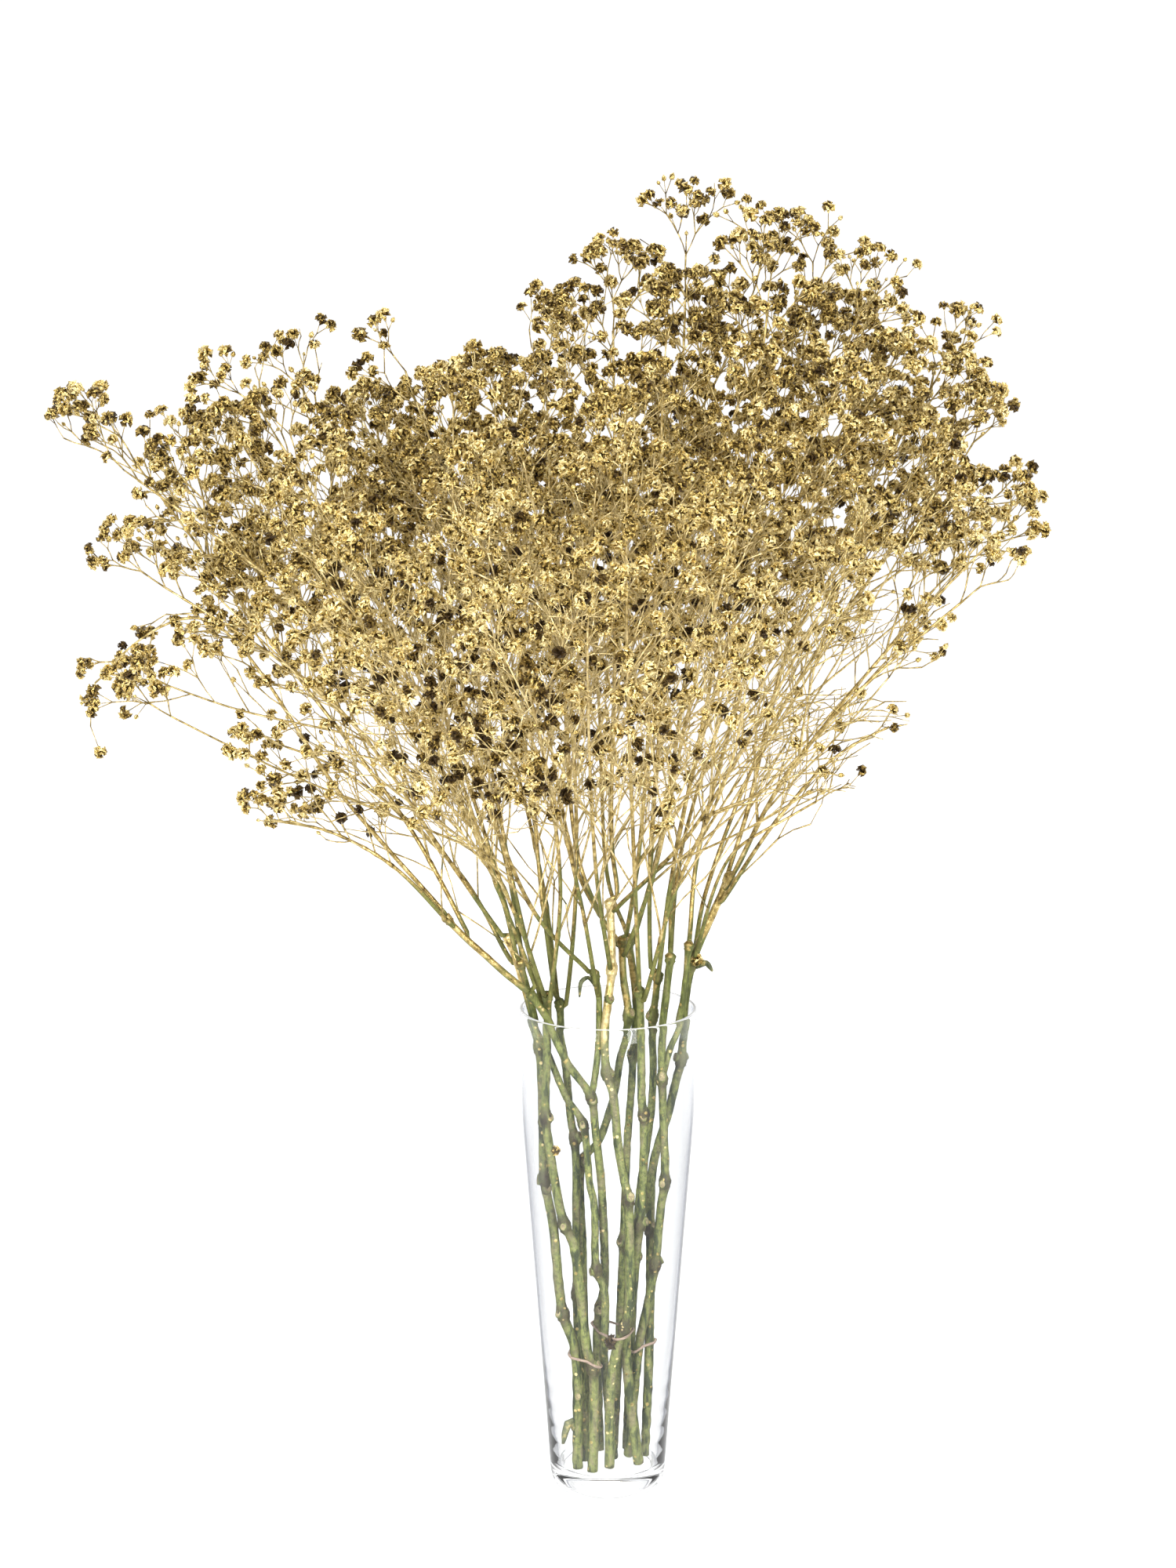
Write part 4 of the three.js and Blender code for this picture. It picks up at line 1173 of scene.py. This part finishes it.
class Growth:
    """What a spray has grown so far: twigs as lines with radii, heads as places with directions."""

    def __init__(self, name):
        self.rng = random.Random(f"{name} {SEED}")
        self.lines = []
        self.heads = []

    def stretch(self, start, direction, length, radius):
        middle = start + bent(direction, self.rng, 0.06) * length / 2
        end = middle + bent(direction, self.rng, 0.06) * length / 2
        return end, [(start, radius), (middle, radius * 0.85), (end, radius * 1.15)]

    def stalk(self, start, direction, length, radius):
        """A stalk with its head, or now and then a bare one. None is kept outside the outline."""
        end = start + bent(direction, self.rng, 0.08) * length
        bare = self.rng.random() < bare_share(end)
        if bare:
            kept = in_outline(end) and kept_share(end) > 0
        else:
            kept = in_outline(end + direction * 3 * MM) and self.rng.random() < kept_share(end)
        if kept:
            self.lines.append([(start, radius), (end, radius * 0.8)])
            if not bare:
                self.heads.append((end, (end - start).normalized()))
        return kept

    def fork(self, start, direction, side, length, radius, levels):
        """Grows a twig with all its forks. A twig that ends up with no stalk isn't kept."""
        direction = (direction + Vector((0, 0, TURN_UP))).normalized()
        if levels == 0:
            return self.stalk(start, direction, length, radius)
        end, line = self.stretch(start, direction, length, radius)
        kept = False
        if self.rng.random() < STALK_IN_FORK:
            kept = self.stalk(end, direction, length * self.rng.uniform(0.35, 0.7), radius * 0.75)
        side = (side - direction * side.dot(direction)).normalized()
        for way in (-1, 1):
            angle = way * FORK_ANGLE * self.rng.uniform(0.75, 1.3)
            turned = direction * math.cos(angle) + side * math.sin(angle)
            longer = length * SHORTER * self.rng.uniform(0.8, 1.15)
            kept |= self.fork(end, turned, direction.cross(side), longer, radius * THINNER, levels - 1)
        if kept:
            self.lines.append(line)
        return kept


# %% [markdown]
# ## The sprays
# Each spray has a main branch from its cane to its tip, with side twigs all round it, longest
# low down and shortest at the tip. The table gives the carrier, the height of the seat and the
# points of the main branch, as in the frame.

# %% Sprays
SPRAYS = {
    "spray_01_a": ("stem_01", 344, [(-100, -8, 400), (-160, -30, 490), (-300, -15, 583)]),
    "spray_01_b": ("stem_01", 337, [(-82, 30, 425), (-130, 80, 536), (-184, 120, 620)]),
    "spray_01_c": ("stem_01", 328, [(-90, 20, 379), (-158, 35, 436), (-224, 45, 460)]),
    "spray_02_a": ("stem_02", 314, [(-52, -66, 367), (-84, -100, 446), (-130, -150, 520)]),
    "spray_02_b": ("stem_02", 307, [(-28, -58, 388), (-43, -130, 508), (-75, -200, 632)]),
    "spray_02_c": ("stem_02", 302, [(-59, 0, 388), (-82, 40, 523), (-100, 70, 670)]),
    "spray_03_a": ("stem_03_left", 363, [(-154, -30, 433), (-235, -20, 538), (-287, -10, 513), (-307, 0, 469)]),
    "spray_03_b": ("stem_03_left", 357, [(-126, -50, 398), (-163, -40, 416), (-210, -20, 420)]),
    "spray_03_c": ("stem_03_left", 349, [(-119, 0, 412), (-207, 30, 525), (-310, 15, 670)]),
    "spray_03_d": ("stem_03", 317, [(-66, -42, 386), (-107, -50, 504), (-221, -30, 696)]),
    "spray_03_e": ("stem_03_up", 327, [(-42, -50, 368), (-87, -100, 479), (-185, -140, 615)]),
    "spray_03_f": ("stem_03_up", 312, [(-16, -52, 376), (-34, -100, 457), (-71, -190, 562)]),
    "spray_04_a": ("stem_04", 333, [(-67, -20, 384), (-138, -60, 517), (-319, -40, 660)]),
    "spray_04_b": ("stem_04", 325, [(-63, 10, 396), (-119, 40, 551), (-201, 40, 698)]),
    "spray_05_a": ("stem_05", 305, [(-39, 10, 361), (-54, 30, 477), (-132, 20, 717)]),
    "spray_05_b": ("stem_05", 300, [(-19, -10, 380), (-25, -60, 517), (-60, -110, 696)]),
    "spray_05_c": ("stem_05", 295, [(-40, 50, 367), (-75, 130, 483), (-135, 190, 612)]),
    "spray_06_a": ("stem_06", 369, [(2, -10, 402), (4, 0, 530), (2, 10, 758)]),
    "spray_06_b": ("stem_06", 362, [(44, -50, 413), (90, -100, 502), (136, -130, 596)]),
    "spray_06_c": ("stem_06", 328, [(-7, -60, 393), (-12, -140, 510), (-12, -205, 596)]),
    "spray_07_a": ("stem_07", 333, [(26, -40, 389), (45, -120, 506), (72, -190, 631)]),
    "spray_07_b": ("stem_07", 338, [(-17, 10, 386), (-28, 40, 523), (-40, 60, 713)]),
    "spray_07_c": ("stem_07", 344, [(18, -20, 399), (26, -50, 538), (32, -70, 742)]),
    "spray_08_a": ("stem_08", 339, [(0, 60, 365), (-7, 140, 481), (-27, 200, 611)]),
    "spray_08_b": ("stem_08", 332, [(31, 60, 385), (51, 120, 509), (61, 160, 635)]),
    "spray_08_c": ("stem_08", 325, [(-17, 70, 363), (-41, 140, 457), (-71, 190, 538)]),
    "spray_09_a": ("stem_09", 321, [(15, -70, 395), (10, -120, 528), (9, -150, 686)]),
    "spray_09_b": ("stem_09", 313, [(38, -70, 386), (67, -140, 474), (77, -190, 545)]),
    "spray_10_a": ("stem_10", 323, [(25, -10, 397), (39, 20, 573), (47, 20, 791)]),
    "spray_10_b": ("stem_10", 316, [(37, -30, 386), (69, -40, 560), (99, -30, 784)]),
    "spray_11_a": ("stem_11", 337, [(40, 10, 391), (86, 40, 570), (131, 40, 766)]),
    "spray_11_b": ("stem_11_right", 343, [(53, 0, 393), (103, 10, 575), (156, 10, 749)]),
    "spray_11_c": ("stem_11", 330, [(45, 50, 387), (89, 110, 511), (133, 150, 617)]),
    "spray_12_a": ("stem_12", 383, [(99, 0, 431), (164, 10, 514), (250, 10, 606)]),
    "spray_12_b": ("stem_12", 378, [(82, 12, 414), (112, 20, 529), (215, 30, 711)]),
    "spray_12_c": ("stem_12", 374, [(106, -40, 454), (154, -60, 513), (234, -40, 577)]),
    "spray_12_d": ("stem_12", 332, [(72, -50, 405), (106, -60, 430), (139, -40, 444)]),
    "spray_12_e": ("stem_12", 366, [(98, -30, 420), (135, -20, 458), (188, -10, 483)]),
    "spray_12_f": ("stem_12", 330, [(60, 38, 365), (105, 60, 470), (236, 10, 668)]),
}
SPARSE = {"spray_12_d": 4, "spray_12_e": 5, "spray_03_a": 7, "spray_01_c": 7, "spray_03_b": 8}

# %% [markdown]
# ### Growing one spray
# Side twigs go round the main branch by the golden angle, as leaves do, so that no two stand above
# each other. Long side branches leave it at a narrow angle, run up beside it and bear twigs of
# their own. Each branch and twig tries several directions and takes the one with the most room,
# as a plant grows towards the light. Last, two long twigs low down cross their neighbours.

# %% Main branch
BRANCH_FOOT, BRANCH_TIP = 1.45 * MM, 0.5 * MM
SIDE_BRANCHES, RICH_BRANCHES = 3, 5
RICH = ("spray_06_a", "spray_07_c", "spray_10_a", "spray_10_b", "spray_11_a", "spray_11_b", "spray_07_b",
        "spray_05_a", "spray_05_b", "spray_03_d", "spray_04_b", "spray_09_a", "spray_02_c", "spray_03_c",
        "spray_01_b", "spray_04_a", "spray_01_a", "spray_03_e", "spray_05_c")
TWIG_SPACING, RICH_SPACING, TWIGS_ON_SIDE = 22 * MM, 16 * MM, 6
FIRST_TWIG, LAST_TWIG = 0.39, 0.86
TRIES = 8
THREE_FORKS_SHARE, TWIG_RADIUS, TIP_RADIUS = 0.45, 0.5 * MM, 0.55 * MM
LEAST_ROOM = 6.0
DEPTH_COUNTS = 0.25
REACH_LOW, REACH_HIGH = 62 * MM, 32 * MM
LEAN = 0.72
LOW_TWIGS = 2
RINGS_ON_SIDE, RINGS_ON_BRANCH = 10, 60
COLUMN, ROOM_FOR_THE_FIRST = 50, 50  # millimetres
crowns = {}


def main_branch(name):
    on, at, path = SPRAYS[name]
    path = millimetres(path)
    centre, seat, leaving = seat_on(on, at, path[0])
    straight = (leaving + 2.2 * (path[0] - seat).normalized()).normalized()
    return Line([centre, seat + leaving * 1.0 * MM, seat + straight * 7 * MM, *path])


def branch_radius(share):
    return BRANCH_TIP + (BRANCH_FOOT - BRANCH_TIP) * (1 - share) ** 1.1


def room_at(point):
    """How far the nearest twig of the crown is in mm, with depth counting less than height and width."""
    x, z = seen_from_front(point)
    column = round(x / COLUMN)
    near = [place for side in (-1, 0, 1) for place in crowns.get(column + side, ())]
    return min((((x - a) ** 2 + (z - b) ** 2 + DEPTH_COUNTS * (point.y / MM - c) ** 2) ** 0.5
                for a, b, c in near), default=ROOM_FOR_THE_FIRST)


def take_room(point):
    x, z = seen_from_front(point)
    crowns.setdefault(round(x / COLUMN), []).append((x, z, point.y / MM))


def roomiest(places):
    """The place with the most room round it, of those within the outline."""
    rooms = [(room_at(place[0]), number) for number, place in enumerate(places) if in_outline(place[0])]
    room, number = max(rooms, default=(0, 0))
    return places[number] if room > LEAST_ROOM else None


def round_about(along, number):
    """The directions that a twig or branch tries: square to its branch, all round it."""
    side = along.orthogonal().normalized()
    for attempt in range(TRIES):
        yield Matrix.Rotation(GOLDEN_ANGLE * number + math.tau * attempt / TRIES, 3, along) @ side


def twigs_along(growth, line, count, first, thick, tip_levels=3):
    """Side twigs with their forks along a branch. Returns the shares at which they leave."""
    rng = growth.rng
    joints = []
    for number in range(count):
        share = first + (LAST_TWIG - first) * (number + rng.uniform(-0.25, 0.25)) / (count - 1)
        share = min(max(share, 0.1), LAST_TWIG)
        foot, along = line.at(share), line.along(share)
        high = (share - first) / (1 - first)
        places = []
        for away in round_about(along, number):
            reach = (REACH_LOW + (REACH_HIGH - REACH_LOW) * high) * rng.uniform(0.45, 1.2) * thick
            direction = (along * math.cos(LEAN) + away * math.sin(LEAN)).normalized()
            places.append((foot + direction * reach * 0.75, reach, direction))
        best = roomiest(places)
        if best is None:
            continue
        middle, reach, direction = best
        joints.append(share)
        take_room(middle)
        levels = 3 if rng.random() < THREE_FORKS_SHARE else 2
        length = reach * (0.34 if levels == 3 else 0.42)
        growth.fork(foot, direction, direction.cross(along), length, TWIG_RADIUS * thick, levels)
    tip, along = line.at(LAST_TWIG), line.along(LAST_TWIG)
    reach = line.length * (1 - LAST_TWIG)
    length = max(reach * (0.42 if tip_levels == 3 else 0.32), 9 * MM)
    growth.fork(tip, along, along.orthogonal(), length, TIP_RADIUS * thick, tip_levels)
    return joints


def side_branch(growth, branch, number, of):
    """A long thin branch that leaves the main one low down, or None where there is no room."""
    rng = growth.rng
    share = 0.16 + 0.62 * number / of + rng.uniform(-0.04, 0.04)
    foot, along = branch.at(share), branch.along(share)
    places = []
    for away in round_about(along, number):
        length = branch.length * (0.97 - share) * rng.uniform(0.45, 0.85)
        ahead = branch.at(share + length / branch.length) - foot
        end = foot + ahead * 0.92 + away * ahead.length * rng.uniform(0.3, 0.55)
        places.append((end, away))
    best = roomiest(places)
    if best is None:
        return None
    end, away = best
    leaving = (along * 0.9 + away * 0.45).normalized()
    return share, Line([foot, foot + leaving * 10 * MM, foot.lerp(end, 0.55) + away * 4 * MM, end])


def low_twig(growth, branch, number):
    """A long thin twig from the lower part of the branch, which crosses its neighbours."""
    rng = growth.rng
    share = rng.uniform(0.08, 0.34)
    foot, along = branch.at(share), branch.along(share)
    turn = Matrix.Rotation(GOLDEN_ANGLE * number + rng.uniform(0, math.tau), 3, along)
    lean = rng.uniform(0.3, 0.75)
    direction = along * math.cos(lean) + (turn @ along.orthogonal().normalized()) * math.sin(lean)
    length, levels = rng.uniform(22, 48) * MM, 3 if number == 0 else 1
    growth.fork(foot, direction, direction.cross(along), length, TWIG_RADIUS, levels)


def grow_spray(name):
    growth = Growth(name)
    branch = main_branch(name)
    scarce = SPARSE.get(name)
    twigs = round(branch.length * (1 - FIRST_TWIG) / (RICH_SPACING if name in RICH else TWIG_SPACING))
    joints = twigs_along(growth, branch, scarce or twigs, FIRST_TWIG, 1.0, 3 if scarce else 4)
    branches = 0 if scarce else RICH_BRANCHES if name in RICH else SIDE_BRANCHES
    for number in range(branches):
        grown = side_branch(growth, branch, number, branches)
        if grown:
            share, line = grown
            joints.append(share)
            twigs_along(growth, line, TWIGS_ON_SIDE, 0.3, 0.85)
            shares = [LAST_TWIG * step / RINGS_ON_SIDE for step in range(RINGS_ON_SIDE + 1)]
            growth.lines.append([(line.at(share), 0.75 * MM - 0.3 * MM * share) for share in shares])
    for number in range(LOW_TWIGS):
        low_twig(growth, branch, number)
    return branch, joints, growth


# %% [markdown]
# ### Dressing one spray
# The rods of the spray become one mesh: the main branch with eight sides and a knot at each side
# twig, the twigs with four. Then the florets and buds are planted on the stalks.

# %% Plant heads
BUD_SHARE, LOW_RIGHT_BUD_SHARE = 0.28, 0.6
FLORET_RADIUS, BUD_RADIUS = 3.6 * MM, 1.4 * MM
FLORET_STRETCH = ((0.85, 1.1), (0.85, 1.1), (0.8, 1.05))


def shaded_share(point):
    """How many florets got hardly any paint: few at the top, many low down and on the right."""
    low = faded(0.60 - point.z, 0.12) * faded(0.20 + point.x, 0.06)
    middle = faded(0.10 - point.x, 0.06)
    right = faded(point.x - 0.1, 0.05) * faded(0.68 - point.z, 0.05)
    return 0.03 + low * (0.18 + 0.32 * middle) + 0.06 * right


def paint_and_fill_light(point):
    """How bright most florets are made: brightest in the lower middle, a fill light in the colour for the
    crown's own shade; less at the top, shade in the colour against the lamps; more on the right.
    """
    high = faded(point.z - 0.54, 0.12)
    top = faded(point.z - 0.68, 0.1)
    right = faded(point.x - 0.1, 0.05)
    return 0.50 + 0.42 * in_the_middle(point) * (1 - 0.7 * high) - 0.08 * top + 0.16 * right


def in_the_middle(point):
    """1 in the middle of the crown, 0 at its edge."""
    x, z = seen_from_front(point)
    away = math.hypot((x + 30) / 230, (z - 540) / 190)
    return faded(1.35 - 1.1 * away, 1)


def branch_rod(branch, joints):
    line = []
    for step in range(RINGS_ON_BRANCH + 1):
        share = LAST_TWIG * step / RINGS_ON_BRANCH
        knot = sum(math.exp(-(((share - joint) * branch.length) / (1.8 * MM)) ** 2) for joint in joints)
        line.append((branch.at(share), branch_radius(share) * (1 + 0.35 * min(knot, 1))))
    return line


def dress_spray(name):
    branch, joints, growth = grow_spray(name)
    rng = growth.rng
    bm = solid_from(rods([branch_rod(branch, joints)], 2))
    mesh = mesh_from(solid_from(rods(growth.lines, 0)), "twigs")
    of_branch = len(bm.verts)
    bm.from_mesh(mesh)
    bpy.data.meshes.remove(mesh)
    paint_and_light = bm.verts.layers.float.new("paint_and_light")
    # On the twigs the stored paint is highest in the middle of the crown: a painted light that makes up for the
    # crown's own shade.
    for number, vert in enumerate(bm.verts):
        above, middle = faded(vert.co.z - 0.40, 0.1), in_the_middle(vert.co)
        vert[paint_and_light] = middle * above if number < of_branch else max(middle, 0.5 * (1 - above))
    bm.verts.layers.float.new("depth")
    tone_layer = bm.verts.layers.float.new("tone")
    bud_share = LOW_RIGHT_BUD_SHARE if name in ("spray_12_d", "spray_12_e") else BUD_SHARE
    for point, direction in growth.heads:
        aim = pointing(direction) @ Matrix.Rotation(rng.uniform(0, math.tau), 4, "Z")
        is_bud = rng.random() < bud_share
        # The tone carries painted light: brighter in the lower middle of the crown, darker at the top.
        tone = min(1, max(0.3, rng.gauss(paint_and_fill_light(point), 0.18)))
        shaded = rng.random() < shaded_share(point)
        if shaded:
            tone = rng.uniform(0, 0.3)
        if is_bud:
            size = BUD_RADIUS * rng.uniform(0.7, 1.35)
            seated = Matrix.Translation(point + direction * size * 0.8) @ aim
            plant(bm, bud, seated @ Matrix.Diagonal((size, size, size, 1)), tone_layer, max(tone, 0.5))
        else:
            size = FLORET_RADIUS * rng.uniform(0.8, 1.15) * (0.88 if shaded else 1)
            sides = [size * rng.uniform(low, high) for low, high in FLORET_STRETCH]
            seated = Matrix.Translation(point + direction * size) @ aim
            plant(bm, rng.choice(florets), seated @ Matrix.Diagonal((*sides, 1)), tone_layer, tone)
    piece, loose = add_piece(name.replace("spray", "flowers"), bm, name, [twig_gold, floret_gold])
    return piece, len(growth.heads), loose


# %% All sprays
total_heads = total_faces = 0
for name in SPRAYS:
    piece, planted, loose = dress_spray(name)
    total_heads += planted
    total_faces += len(piece.data.polygons)
    if loose:
        print(piece.name, "open edges", loose)
print("sprays:", len(SPRAYS), "heads:", total_heads, "faces:", total_faces)

# %% [markdown]
# ## Finish
# The triangles of all the pieces that are shown are counted.

# %% Triangles
triangles = 0
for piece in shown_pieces():
    piece.data.calc_loop_triangles()
    triangles += len(piece.data.loop_triangles)
print("triangles:", triangles)
